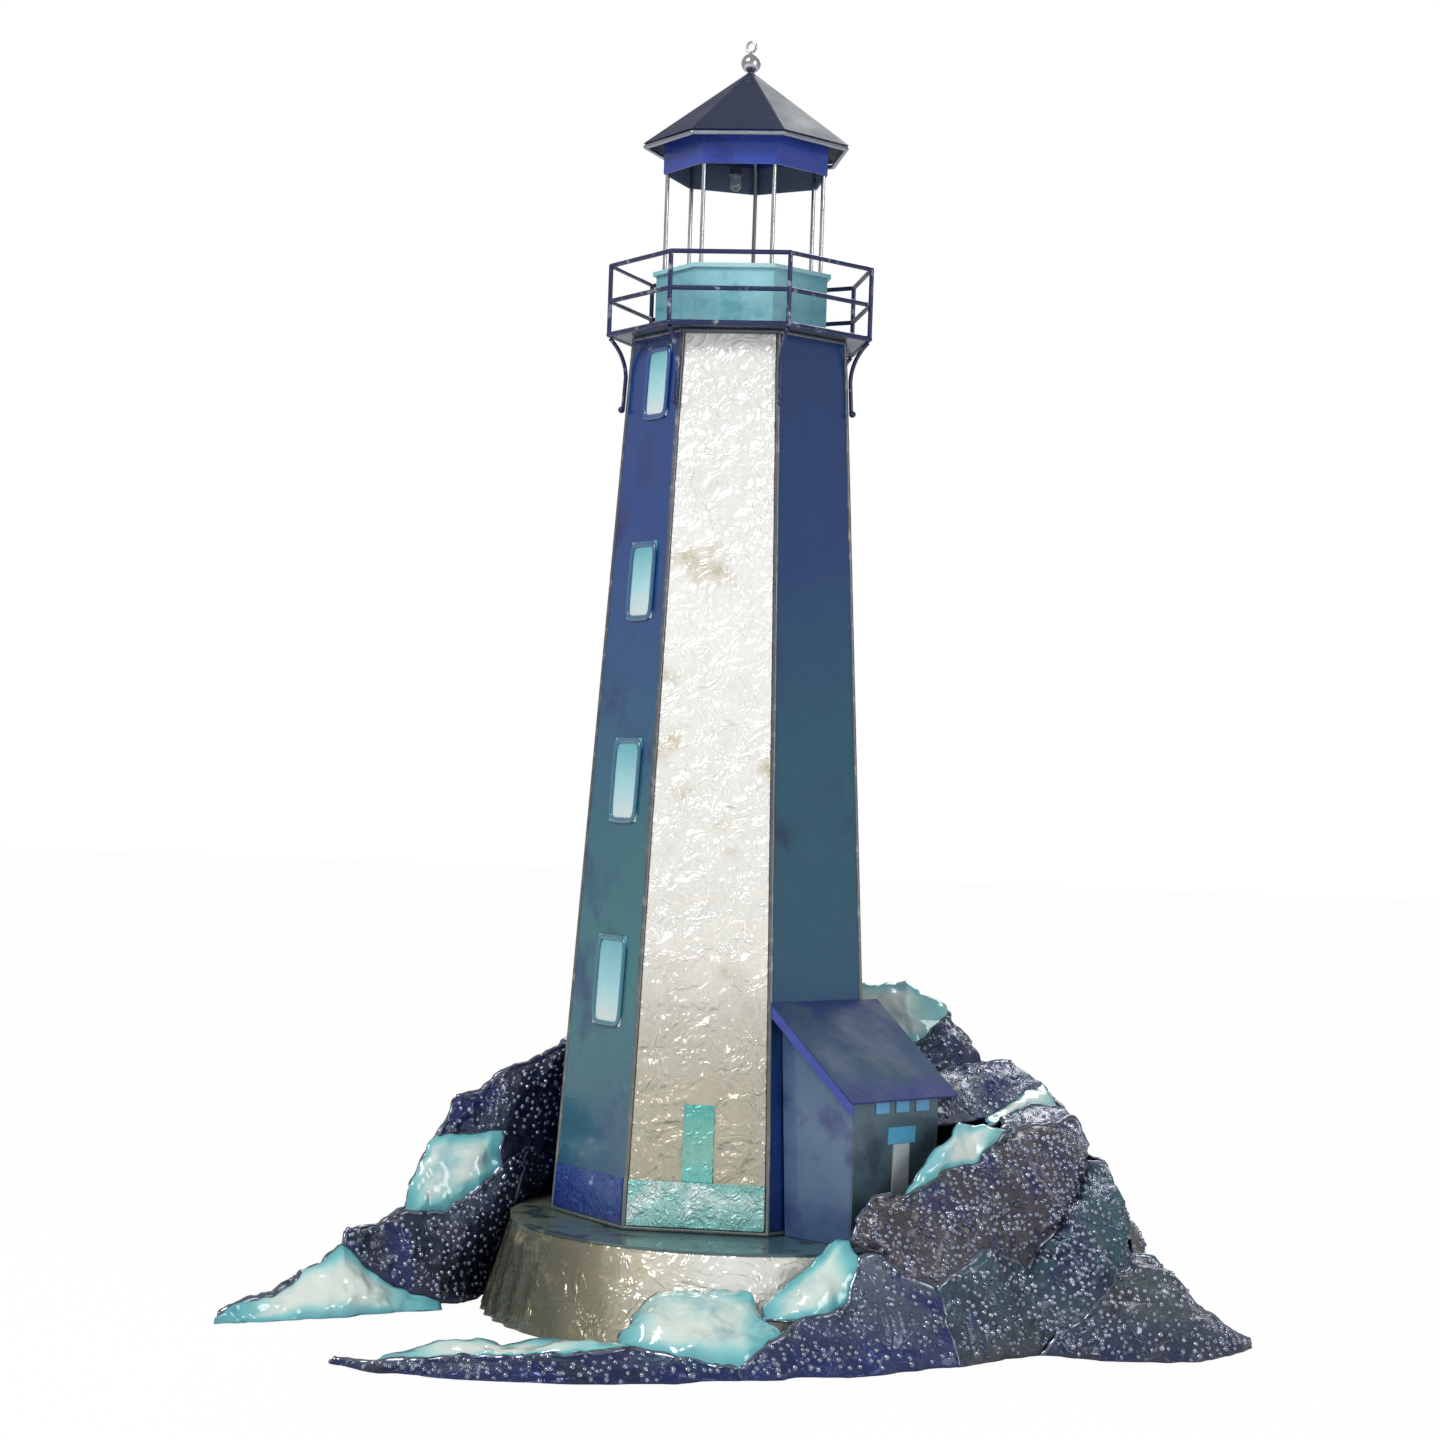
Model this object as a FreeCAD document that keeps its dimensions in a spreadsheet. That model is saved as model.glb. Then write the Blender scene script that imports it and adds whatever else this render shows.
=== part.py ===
import FreeCAD, Part
import math
import os

import Sketcher
from FreeCAD import Placement, Rotation, Vector

# Garden lighthouse ornament: sheet panels on a soldered wire frame, on a round plinth
# among rocks of pressed sheet and smooth glassy pieces, with a small beacon lamp.
# The tower's axis is Z, the ground is z = 0, and the tower's pearl front panel faces -Y.

os.makedirs("parts", exist_ok=True)
doc = FreeCAD.newDocument("lighthouse")
sheet = doc.addObject("Spreadsheet::Sheet", "Dimensions")

# Driving dimensions, in millimetres, degrees and counts.
DIMENSIONS = {
    "side_count": 7,
    "seat_gap": 0.15,
    "slide_gap": 0.30,
    "wire_radius": 1.0,
    "panel_sheet": 0.8,
    "overlay_sheet": 0.5,
    # plinth
    "plinth_height": 40.0,
    "plinth_foot_radius": 112.0,
    "plinth_top_radius": 100.0,
    "plinth_wall": 1.5,
    "plinth_top_sheet": 1.0,
    "plinth_shift_right": 13.3,
    "plinth_shift_front": 10.5,
    "base_sheet": 1.5,
    # tower
    "tower_rise": 383.0,
    "tower_foot_radius": 70.3,
    "tower_head_radius": 47.3,
    "band_height": 19.0,
    "door_width": 13.0,
    "door_height": 32.5,
    "window_pitch": 86.0,
    "window_lowest": 101.0,
    "window_shift": 4.0,
    "window_foot_width": 21.0,
    "window_head_width": 16.5,
    "window_foot_height": 36.0,
    "window_head_height": 28.5,
    "window_rim": 1.2,
    # gallery
    "deck_radius": 58.6,
    "deck_sheet": 1.2,
    "rim_wire_radius": 1.2,
    "rail_height": 29.0,
    "rail_middle_height": 13.5,
    "bracket_wire_radius": 0.9,
    "bracket_drop": 17.0,
    "bracket_leg": 14.0,
    "bracket_bead_radius": 1.5,
    "bracket_sag_share": 0.27,
    # lantern room
    "parapet_radius": 38.6,
    "parapet_height": 26.0,
    "parapet_cap_height": 1.8,
    "parapet_cap_radius": 40.2,
    "post_radius": 0.9,
    "fascia_radius": 37.0,
    "fascia_sheet": 0.6,
    "fascia_level": 71.0,
    "eave_level": 84.0,
    "eave_radius": 46.3,
    "roof_rise": 34.5,
    "roof_sheet": 0.8,
    # finial and beacon lamp
    "stud_radius": 1.2,
    "stud_fit": 0.05,
    "stud_drop": 12.0,
    "ball_radius": 4.3,
    "loop_radius": 2.3,
    "loop_wire_radius": 0.6,
    "lamp_shift": 5.0,
    "lamp_holder_radius": 3.0,
    "lamp_holder_length": 9.0,
    "lamp_bulb_radius": 2.5,
    "lamp_bulb_length": 7.0,
    "lamp_stem_radius": 0.8,
    "lead_radius": 0.7,
    # shed
    "shed_start": 9.0,
    "shed_width": 52.0,
    "shed_depth": 39.0,
    "shed_sheet": 0.8,
    "shed_roof_top": 97.5,
    "shed_roof_foot": 63.5,
    "shed_eave": 5.0,
    "shed_verge": 7.0,
    "shed_trim_height": 5.0,
    "shed_door_width": 10.0,
    "shed_door_height": 41.0,
    "shed_lintel_width": 17.0,
    "shed_lintel_height": 7.0,
    "shed_window_size": 8.0,
    "shed_window_pitch": 12.5,
    # battery unit under the plinth
    "battery_length": 66.0,
    "battery_width": 52.0,
    "battery_height": 19.0,
    "battery_wall": 1.6,
    "battery_back": 42.0,
    "cell_radius": 7.1,
    "cell_length": 50.0,
    "hatch_sheet": 1.2,
    "hatch_pin_radius": 0.8,
    "hatch_ear": 3.0,
    "hatch_edge": 0.4,
    "pin_fit": 0.05,
    "switch_length": 7.0,
    "switch_width": 4.0,
    "switch_travel": 3.0,
    # rocks
    "rock_turn": 6.57,
    "rock_sheet": 1.6,
    "rock_drop_share": 0.7,
    "rock_bulge_share": 0.10,
}
for row, (alias, number) in enumerate(DIMENSIONS.items(), start=1):
    sheet.set(f"A{row}", alias.replace("_", " "))
    sheet.set(f"B{row}", str(number))
    sheet.setAlias(f"B{row}", alias)
doc.recompute()


def size(alias):
    """Value of one driving dimension."""
    return float(sheet.get(alias))


def bound(item, **expressions):
    """Tie an object's properties to the sheet; a bare alias may be given by itself."""
    for name, words in expressions.items():
        for alias in sorted(DIMENSIONS, key=len, reverse=True):
            words = words.replace(f"<{alias}>", f"Dimensions.{alias}")
        item.setExpression(name, words)
    return item


SIDES = int(size("side_count"))
STEP = 360.0 / SIDES
GAP = size("seat_gap")
WIRE = size("wire_radius")
TOWER_FOOT = size("plinth_height") + size("plinth_top_sheet")
TOWER_HEAD = TOWER_FOOT + size("tower_rise")
DECK_TOP = TOWER_HEAD + size("deck_sheet")
UP = Vector(0, 0, 1)
nodes = []


def keep(item, label):
    """Register an object as one sub-part of the assembly."""
    item.Label = label
    nodes.append(item)
    return item


def solid_piece(label, shape, placement=None):
    """One sub-part whose shape is set directly, then placed."""
    item = doc.addObject("Part::Feature", label)
    item.Shape = shape
    if placement is not None:
        item.Placement = placement
    return keep(item, label)


def corner(index, radius, level):
    """Corner of the seven-sided plan; corner 0 is right of the front face."""
    angle = math.radians((index + 0.5) * STEP)
    return Vector(radius * math.sin(angle), -radius * math.cos(angle), level)


def apothem(radius):
    """Distance from the axis to a side, from the corner radius."""
    return radius * math.cos(math.radians(STEP / 2))


def side_length(radius):
    """Length of one side, from the corner radius."""
    return 2 * radius * math.sin(math.radians(STEP / 2))


def ring_prism(radius, bottom, top):
    """Upright seven-sided prism."""
    points = [corner(index, radius, bottom) for index in range(SIDES + 1)]
    return Part.Face(Part.makePolygon(points)).extrude(Vector(0, 0, top - bottom))


def ring_wall(outer_radius, sheet_thickness, bottom, top):
    """Upright seven-sided tube whose wall has one thickness."""
    inner_radius = outer_radius - sheet_thickness / math.cos(math.radians(STEP / 2))
    return ring_prism(outer_radius, bottom, top).cut(ring_prism(inner_radius, bottom - 1, top + 1))


def rod(start, end, radius):
    """Round wire from one point to another."""
    return Part.makeCylinder(radius, (end - start).Length, start, end - start)


def wire_ring(radius, level, wire):
    """Closed seven-sided ring of round wire with ball-shaped corners."""
    shapes = []
    for index in range(SIDES):
        start = corner(index, radius, level)
        shapes.append(rod(start, corner(index + 1, radius, level), wire))
        shapes.append(Part.makeSphere(wire, start))
    return fused(shapes)


def fused(shapes):
    """Shapes that are soldered into one solid."""
    return shapes[0].fuse(shapes[1:]).removeSplitter()


def new_body(label):
    """Empty body that will be one sub-part."""
    return keep(doc.addObject("PartDesign::Body", label), label)


def plane_of(body, role):
    """One of the body's own origin planes."""
    return next(item for item in body.Origin.OriginFeatures if item.Role == role)


def new_sketch(body, name, role):
    """Sketch on one of the body's origin planes."""
    sketch = body.newObject("Sketcher::SketchObject", name)
    sketch.AttachmentSupport = (plane_of(body, role), "")
    sketch.MapMode = "FlatFace"
    return sketch


def add_polygon(sketch, points):
    """Closed outline of straight lines through points, pinned to their coordinates."""
    first = sketch.GeometryCount
    count = len(points)
    for index in range(count):
        start = Vector(*points[index], 0)
        end = Vector(*points[(index + 1) % count], 0)
        sketch.addGeometry(Part.LineSegment(start, end), False)
    for index in range(count):
        following = first + (index + 1) % count
        sketch.addConstraint(Sketcher.Constraint("Coincident", first + index, 2, following, 1))
    for index, (across, along) in enumerate(points):
        sketch.addConstraint(Sketcher.Constraint("DistanceX", -1, 1, first + index, 1, across))
        sketch.addConstraint(Sketcher.Constraint("DistanceY", -1, 1, first + index, 1, along))


def pad(body, sketch, length, both_ways=False):
    """Pad bound to an expression of the sheet."""
    feature = body.newObject("PartDesign::Pad", f"{body.Name}_pad")
    feature.Profile = sketch
    feature.Midplane = both_ways
    bound(feature, Length=length)
    sketch.Visibility = False
    return feature


# ---------------------------------------------------------------- plinth
PLINTH_PLACE = Placement(
    Vector(size("plinth_shift_right"), -size("plinth_shift_front"), 0), Rotation()
)


def plinth_wall():
    """Flared wall, revolved from a slanted strip that stands on the ground."""
    body = new_body("plinth_wall")
    sketch = new_sketch(body, "plinth_wall_outline", "XZ_Plane")
    foot = size("plinth_foot_radius")
    head = size("plinth_top_radius")
    wall = size("plinth_wall")
    height = size("plinth_height")
    add_polygon(sketch, [(foot - wall, 0), (foot, 0), (head, height), (head - wall, height)])
    turn = body.newObject("PartDesign::Revolution", "plinth_wall_turn")
    turn.Profile = sketch
    turn.ReferenceAxis = (sketch, ["V_Axis"])
    turn.Angle = 360.0
    body.Placement = PLINTH_PLACE


def plinth_top():
    """Round sheet on the wall, with the passage for the lamp's lead at the tower's axis."""
    disc = doc.addObject("Part::Cylinder", "plinth_top_disc")
    bound(disc, Radius="<plinth_top_radius>", Height="<plinth_top_sheet>")
    hole = doc.addObject("Part::Cylinder", "plinth_top_hole")
    bound(hole, Radius="<lead_radius> * 4", Height="<plinth_top_sheet> * 3")
    cut = doc.addObject("Part::Cut", "plinth_top")
    cut.Base = disc
    cut.Tool = hole
    disc.Placement = Placement(
        Vector(size("plinth_shift_right"), -size("plinth_shift_front"), size("plinth_height")),
        Rotation(),
    )
    hole.Placement = Placement(
        Vector(0, LEAD_BACK, size("plinth_height") - size("plinth_top_sheet")), Rotation()
    )
    keep(cut, "plinth_top")


# ---------------------------------------------------------------- battery unit
BATTERY_BACK = size("battery_back")
BATTERY_HALF = size("battery_length") / 2
CASE_LEVEL = size("base_sheet")
POST_RING = size("fascia_radius") - (size("fascia_sheet") + size("post_radius") + GAP) / math.cos(
    math.radians(STEP / 2)
)
LEAD_BACK = POST_RING - size("post_radius") - size("lead_radius") - GAP


HINGE_BACK = BATTERY_BACK + size("battery_width") / 2 - size("battery_wall") - 2.6
HINGE_LEVEL = size("hatch_sheet") + size("hatch_pin_radius") - 0.1
EAR_HALF = size("hatch_pin_radius") + 0.9
HATCH_LENGTH = size("battery_length") - 2 * (
    size("battery_wall") + size("hatch_ear") + size("slide_gap")
)
HATCH_FRONT = BATTERY_BACK - size("battery_width") / 2 + size("battery_wall") + 1
HATCH_REAR = HINGE_BACK + size("hatch_edge")
SWITCH_BACK = BATTERY_BACK - size("battery_width") / 2 - 3 * size("switch_width")


def hatch_openings():
    """Opening of the hatch in the base plate, and the wider strip for its hinge."""
    gap = size("slide_gap")
    depth = size("base_sheet") * 3
    door = Part.makeBox(
        HATCH_LENGTH + 2 * gap,
        HATCH_REAR - HATCH_FRONT + 2 * gap,
        depth,
        Vector(-HATCH_LENGTH / 2 - gap, HATCH_FRONT - gap, -size("base_sheet")),
    )
    strip_length = size("battery_length") - 2 * size("battery_wall") + 2 * gap
    swing = math.hypot(HINGE_LEVEL, size("hatch_edge")) + gap
    strip = Part.makeBox(
        strip_length,
        EAR_HALF + gap + swing,
        depth,
        Vector(-strip_length / 2, HINGE_BACK - EAR_HALF - gap, -size("base_sheet")),
    )
    return door.fuse(strip)


def switch_slot():
    """Slot for the switch in the base plate, beside the battery case."""
    gap = size("slide_gap")
    return Part.makeBox(
        size("switch_travel") + size("switch_length") + 2 * gap,
        size("switch_width") + 2 * gap,
        size("base_sheet") * 3,
        Vector(-size("switch_length") / 2 - gap, SWITCH_BACK - gap, -size("base_sheet")),
    )


def base_plate():
    """Floor of the plinth, let into the wall's foot, with the hatch and switch openings."""
    taper = (size("plinth_foot_radius") - size("plinth_top_radius")) / size("plinth_height")
    radius = size("plinth_foot_radius") - size("plinth_wall") - taper * size("base_sheet") - GAP
    plate = Part.makeCylinder(radius, size("base_sheet"))
    plate.translate(PLINTH_PLACE.Base)
    solid_piece("base_plate", plate.cut(hatch_openings()).cut(switch_slot()))


def battery_case():
    """Open-bottomed box over the hatch, with two ears that hold the hatch's pin."""
    length = size("battery_length")
    width = size("battery_width")
    wall = size("battery_wall")
    height = size("battery_height")
    corner_low = Vector(-length / 2, BATTERY_BACK - width / 2, CASE_LEVEL)
    outer = Part.makeBox(length, width, height, corner_low)
    inner = Part.makeBox(
        length - 2 * wall, width - 2 * wall, height - wall, corner_low + Vector(wall, wall, 0)
    )
    case = outer.cut(inner)
    ear = size("hatch_ear")
    for edge in (-length / 2 + wall, length / 2 - wall - ear):
        ear_low = Vector(edge, HINGE_BACK - EAR_HALF, HINGE_LEVEL - EAR_HALF + 0.3)
        case = case.fuse(Part.makeBox(ear, 2 * EAR_HALF, 2 * EAR_HALF, ear_low))
    bore = size("hatch_pin_radius") + size("pin_fit")
    axis = Part.makeCylinder(
        bore, length - 2 * wall, Vector(-length / 2 + wall, HINGE_BACK, HINGE_LEVEL), Vector(1, 0, 0)
    )
    hole = Part.makeCylinder(
        4 * size("lead_radius"), 3 * wall, Vector(0, LEAD_BACK, CASE_LEVEL + height - 2 * wall)
    )
    solid_piece("battery_case", case.cut(axis).cut(hole).removeSplitter())


def battery_hatch():
    """Flat door flush with the base plate, on a pin that turns in the case's ears."""
    plate = Part.makeBox(
        HATCH_LENGTH,
        HATCH_REAR - HATCH_FRONT,
        size("hatch_sheet"),
        Vector(-HATCH_LENGTH / 2, HATCH_FRONT, 0),
    )
    pin_length = size("battery_length") - 2 * size("battery_wall") - 2 * size("slide_gap")
    pin = Part.makeCylinder(
        size("hatch_pin_radius"),
        pin_length,
        Vector(-pin_length / 2, HINGE_BACK, HINGE_LEVEL),
        Vector(1, 0, 0),
    )
    neck = Part.makeBox(
        HATCH_LENGTH,
        2 * size("hatch_edge"),
        HINGE_LEVEL,
        Vector(-HATCH_LENGTH / 2, HINGE_BACK - size("hatch_edge"), 0),
    )
    solid_piece("battery_hatch", fused([plate, neck, pin]))


def battery_cells():
    """Two round cells side by side in the case."""
    radius = size("cell_radius")
    level = CASE_LEVEL + size("battery_height") - size("battery_wall") - radius - 0.3
    cells = []
    for place in (-1.55, 0.55):
        back = BATTERY_BACK + place * radius
        cells.append(
            Part.makeCylinder(
                radius,
                size("cell_length"),
                Vector(-size("cell_length") / 2, back, level),
                Vector(1, 0, 0),
            )
        )
    solid_piece("battery_cells", Part.makeCompound(cells))


def switch_pieces():
    """Slide switch: a body soldered on the base plate and a slider that moves along X."""
    gap = size("slide_gap")
    long_side = size("switch_length") + size("switch_travel") + 6
    wide_side = size("switch_width") + 5
    level = size("base_sheet")
    body = Part.makeBox(
        long_side,
        wide_side,
        7,
        Vector(-size("switch_length") / 2 - 3, SWITCH_BACK - 2.5, level),
    )
    room = Part.makeBox(
        size("switch_length") + size("switch_travel") + 2 * gap,
        size("switch_width") + 2 * gap,
        5,
        Vector(-size("switch_length") / 2 - gap, SWITCH_BACK - gap, level - 1),
    )
    solid_piece("switch_body", body.cut(room))
    slider = Part.makeBox(
        size("switch_length"),
        size("switch_width"),
        level + 3.4,
        Vector(-size("switch_length") / 2, SWITCH_BACK, 0.3),
    )
    solid_piece("switch_slider", slider)


# ---------------------------------------------------------------- tower
def tower_radius(level):
    """Corner radius of the tapering tower at a height."""
    share = (level - TOWER_FOOT) / size("tower_rise")
    return size("tower_foot_radius") + share * (
        size("tower_head_radius") - size("tower_foot_radius")
    )


RING_FOOT = TOWER_FOOT + WIRE + 0.05
RING_HEAD = TOWER_HEAD - WIRE - 0.05
PANEL_LEAN = apothem(size("tower_foot_radius") - size("tower_head_radius"))
PANEL_SLANT = math.hypot(PANEL_LEAN, size("tower_rise"))
LEAN_ANGLE = math.degrees(math.atan2(PANEL_LEAN, size("tower_rise")))
SLANT_FACTOR = PANEL_SLANT / size("tower_rise")


def face_place(side, level, outward=0.0):
    """Frame of a tower face: x along the side, y up the slope, z out of the face."""
    turn = Rotation(UP, side * STEP)
    lean = Rotation(Vector(1, 0, 0), 90 - LEAN_ANGLE)
    face = Placement(turn.multVec(Vector(0, -apothem(tower_radius(level)), level)), turn * lean)
    return face * Placement(Vector(0, 0, outward), Rotation())


def tower_frame():
    """Corner wires and the foot and head rings, soldered into one frame."""
    shapes = [
        wire_ring(tower_radius(RING_FOOT), RING_FOOT, WIRE),
        wire_ring(tower_radius(RING_HEAD), RING_HEAD, WIRE),
    ]
    for index in range(SIDES):
        start = corner(index, tower_radius(RING_FOOT), RING_FOOT)
        end = corner(index, tower_radius(RING_HEAD), RING_HEAD)
        shapes.append(rod(start, end, WIRE))
    solid_piece("tower_frame", fused(shapes))


PANEL_BOTTOM = RING_FOOT + WIRE + GAP
PANEL_TOP = RING_HEAD - WIRE - GAP
PANEL_HEIGHT = (PANEL_TOP - PANEL_BOTTOM) * SLANT_FACTOR
PANEL_FOOT_WIDTH = side_length(tower_radius(PANEL_BOTTOM)) - 2 * (WIRE + GAP)
PANEL_HEAD_WIDTH = side_length(tower_radius(PANEL_TOP)) - 2 * (WIRE + GAP)


def panel_width(along):
    """Width of a tower panel at a distance up its slope."""
    return PANEL_FOOT_WIDTH + (PANEL_HEAD_WIDTH - PANEL_FOOT_WIDTH) * along / PANEL_HEIGHT


def trapezium(bottom, top):
    """Outline of a panel's band between two distances up the slope."""
    low = panel_width(bottom) / 2
    high = panel_width(top) / 2
    return [(-low, bottom), (low, bottom), (high, top), (-high, top)]


WINDOW_COUNT = 4


def window_outline(index, margin):
    """One window opening, grown by a margin; windows widen towards the foot."""
    share = index / (WINDOW_COUNT - 1)
    width = size("window_foot_width") * (1 - share) + size("window_head_width") * share
    height = size("window_foot_height") * (1 - share) + size("window_head_height") * share
    middle = (size("window_lowest") + index * size("window_pitch")) * SLANT_FACTOR
    left = size("window_shift") - width / 2 - margin
    right = size("window_shift") + width / 2 + margin
    low = middle - height / 2 - margin
    high = middle + height / 2 + margin
    return [(left, low), (right, low), (right, high), (left, high)]


def tower_panel(label, side):
    """Flat tapered sheet between two corner wires."""
    body = new_body(label)
    sketch = new_sketch(body, f"{label}_outline", "XY_Plane")
    add_polygon(sketch, trapezium(0, PANEL_HEIGHT))
    pad(body, sketch, "<panel_sheet>", both_ways=True)
    body.Placement = face_place(side, PANEL_BOTTOM)
    return body


def rear_panels():
    """The panels away from the front, alike and kept as a group of separate sheets."""
    outline = [Vector(x, y, -size("panel_sheet") / 2) for x, y in trapezium(0, PANEL_HEIGHT)]
    flat = Part.Face(Part.makePolygon(outline + outline[:1]))
    panels = []
    for side in range(2, SIDES - 1):
        panel = flat.extrude(Vector(0, 0, size("panel_sheet")))
        panel.Placement = face_place(side, PANEL_BOTTOM)
        panels.append(panel)
    solid_piece("tower_panels_rear", Part.makeCompound(panels))


def window_openings(body):
    """Pockets through the left panel for its column of windows."""
    doc.recompute()
    before = body.Shape.Volume
    sketch = new_sketch(body, "window_outlines", "XY_Plane")
    for index in range(WINDOW_COUNT):
        add_polygon(sketch, window_outline(index, 0))
    pocket = body.newObject("PartDesign::Pocket", "window_pocket")
    pocket.Profile = sketch
    pocket.Type = 1
    pocket.Midplane = True
    sketch.Visibility = False
    doc.recompute()
    if body.Shape.Volume >= before:
        raise RuntimeError("window openings did not cut")


def window_panes():
    """Panes that plug the openings from outside, each with a raised rim."""
    half = size("panel_sheet") / 2
    panes = []
    for index in range(WINDOW_COUNT):
        plug = Part.makePolygon(
            [Vector(x, y, -half) for x, y in window_outline(index, -GAP)]
            + [Vector(*window_outline(index, -GAP)[0], -half)]
        )
        rim_points = window_outline(index, size("window_rim"))
        rim = Part.makePolygon([Vector(x, y, half) for x, y in rim_points + rim_points[:1]])
        panes.append(
            Part.Face(plug)
            .extrude(Vector(0, 0, size("panel_sheet")))
            .fuse(Part.Face(rim).extrude(Vector(0, 0, size("overlay_sheet"))))
            .removeSplitter()
        )
    place = face_place(SIDES - 1, PANEL_BOTTOM)
    solid_piece("tower_windows", Part.makeCompound(panes), place)


def overlay(label, side, outline):
    """Thin sheet soldered flat on the outside of a tower panel."""
    body = new_body(label)
    sketch = new_sketch(body, f"{label}_outline", "XY_Plane")
    add_polygon(sketch, outline)
    pad(body, sketch, "<overlay_sheet>")
    body.Placement = face_place(side, PANEL_BOTTOM, size("panel_sheet") / 2)


def tower():
    """Frame, seven panels, windows, door and the two bands at the foot."""
    tower_frame()
    tower_panel("tower_panel_front", 0)
    tower_panel("tower_panel_right", 1)
    rear_panels()
    left = tower_panel("tower_panel_left", SIDES - 1)
    window_openings(left)
    window_panes()
    band = size("band_height")
    half = size("door_width") / 2
    top = band + size("door_height")
    overlay("tower_band_front", 0, trapezium(0, band))
    overlay("tower_skirt_left", SIDES - 1, trapezium(0, band))
    overlay(
        "tower_door",
        0,
        [(-half, band + GAP), (half, band + GAP), (half, top), (-half, top)],
    )


# ---------------------------------------------------------------- gallery
RIM_LEVEL = TOWER_HEAD + size("deck_sheet") / 2
RIM_WIRE = size("rim_wire_radius")


def gallery():
    """Deck, the railing soldered to its edge wire, and the curved brackets under it."""
    inset = (RIM_WIRE + GAP) / math.cos(math.radians(STEP / 2))
    deck = ring_prism(size("deck_radius") - inset, TOWER_HEAD, DECK_TOP)
    hole = Part.makeCylinder(4 * size("lead_radius"), size("deck_sheet") * 3)
    hole.translate(Vector(0, LEAD_BACK, TOWER_HEAD - size("deck_sheet")))
    solid_piece("gallery_deck", deck.cut(hole))

    foot = RIM_LEVEL + RIM_WIRE
    shapes = [
        wire_ring(size("deck_radius"), RIM_LEVEL, RIM_WIRE),
        wire_ring(size("deck_radius"), foot + size("rail_height"), WIRE),
        wire_ring(size("deck_radius"), foot + size("rail_middle_height"), WIRE),
    ]
    for index in range(SIDES):
        start = corner(index, size("deck_radius"), RIM_LEVEL)
        end = corner(index, size("deck_radius"), foot + size("rail_height"))
        shapes.append(rod(start, end, WIRE))
    solid_piece("gallery_railing", fused(shapes))
    solid_piece("gallery_brackets", Part.makeCompound([bracket(i) for i in range(SIDES)]))


def bracket(index):
    """Curved wire from the deck's corner in to the tower's corner wire, with a bead end."""
    wire = size("bracket_wire_radius")
    top_level = RIM_LEVEL - RIM_WIRE - GAP - wire / 4
    bend_level = top_level - size("bracket_drop")
    leg_level = bend_level - size("bracket_leg")
    stand_off = WIRE + wire + 2 * GAP
    top = corner(index, size("deck_radius") - wire / 2, top_level)
    bend = corner(index, tower_radius(bend_level) + stand_off, bend_level)
    leg = corner(index, tower_radius(leg_level) + stand_off, leg_level)
    share = 0.42
    reach = size("deck_radius") - wire / 2 - tower_radius(bend_level) - stand_off
    outward = corner(index, 1, 0)
    middle = top + (bend - top) * share - outward * (reach * size("bracket_sag_share"))
    arc = Part.Arc(top, middle, bend).toShape()
    start = Part.Wire(Part.Circle(top, arc.tangentAt(arc.FirstParameter), wire).toShape())
    tube = Part.Wire(arc).makePipeShell([start], True, False)
    bead = Part.makeSphere(size("bracket_bead_radius"), leg + outward * 0.6)
    return fused([tube, Part.makeSphere(wire, bend), rod(bend, leg, wire), bead])


# ---------------------------------------------------------------- lantern room
EAVE = DECK_TOP + size("eave_level")
APEX = EAVE + size("roof_rise")
ROOF_SLOPE = size("roof_rise") / size("eave_radius")
ROOF_DROP = size("roof_sheet") * math.hypot(1, size("roof_rise") / apothem(size("eave_radius")))


def roof_under(radius):
    """Height of the roof's underside above a plan radius."""
    return EAVE + (size("eave_radius") - radius) * ROOF_SLOPE - ROOF_DROP


def pyramid(radius, level, apex):
    """Seven-sided solid pyramid."""
    faces = []
    base = [corner(index, radius, level) for index in range(SIDES)]
    top = Vector(0, 0, apex)
    faces.append(Part.Face(Part.makePolygon(base + base[:1])))
    for index in range(SIDES):
        following = (index + 1) % SIDES
        faces.append(Part.Face(Part.makePolygon([base[index], base[following], top, base[index]])))
    return Part.makeSolid(Part.makeShell(faces))


def lantern():
    """Parapet, its cap, the posts, the fascia band, the roof and the eave wire."""
    wall_top = DECK_TOP + size("parapet_height")
    solid_piece(
        "parapet_wall",
        ring_wall(size("parapet_radius"), size("panel_sheet"), DECK_TOP, wall_top),
    )
    opening = POST_RING + (size("post_radius") + GAP) / math.cos(math.radians(STEP / 2))
    cap = ring_prism(
        size("parapet_cap_radius"), wall_top, wall_top + size("parapet_cap_height")
    ).cut(ring_prism(opening, wall_top - 1, wall_top + size("parapet_cap_height") + 1))
    solid_piece("parapet_cap", cap)

    posts = []
    post_top = roof_under(POST_RING + size("post_radius")) - GAP
    for index in range(SIDES):
        start = corner(index, POST_RING, DECK_TOP)
        posts.append(rod(start, corner(index, POST_RING, post_top), size("post_radius")))
    solid_piece("lantern_posts", Part.makeCompound(posts))

    band = ring_prism(size("fascia_radius"), DECK_TOP + size("fascia_level"), APEX).cut(
        ring_prism(
            size("fascia_radius") - size("fascia_sheet") / math.cos(math.radians(STEP / 2)),
            DECK_TOP,
            APEX + GAP,
        )
    )
    under = pyramid(size("eave_radius") * 2, EAVE - size("roof_rise"), APEX)
    under.translate(Vector(0, 0, -ROOF_DROP - GAP))
    solid_piece("fascia_band", band.common(under))

    roof = pyramid(size("eave_radius"), EAVE, APEX)
    inner = pyramid(size("eave_radius") * 1.2, EAVE - 0.2 * size("roof_rise"), APEX)
    inner.translate(Vector(0, 0, -ROOF_DROP))
    hole = Part.makeCylinder(
        size("stud_radius") + size("stud_fit"), 2 * size("roof_rise"), Vector(0, 0, EAVE)
    )
    solid_piece("lantern_roof", roof.cut(inner).cut(hole))
    eave_wire = wire_ring(size("eave_radius") - WIRE, EAVE - WIRE - ROOF_DROP * 0.5, WIRE)
    solid_piece("eave_wire", eave_wire.cut(roof.cut(inner)))


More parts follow.
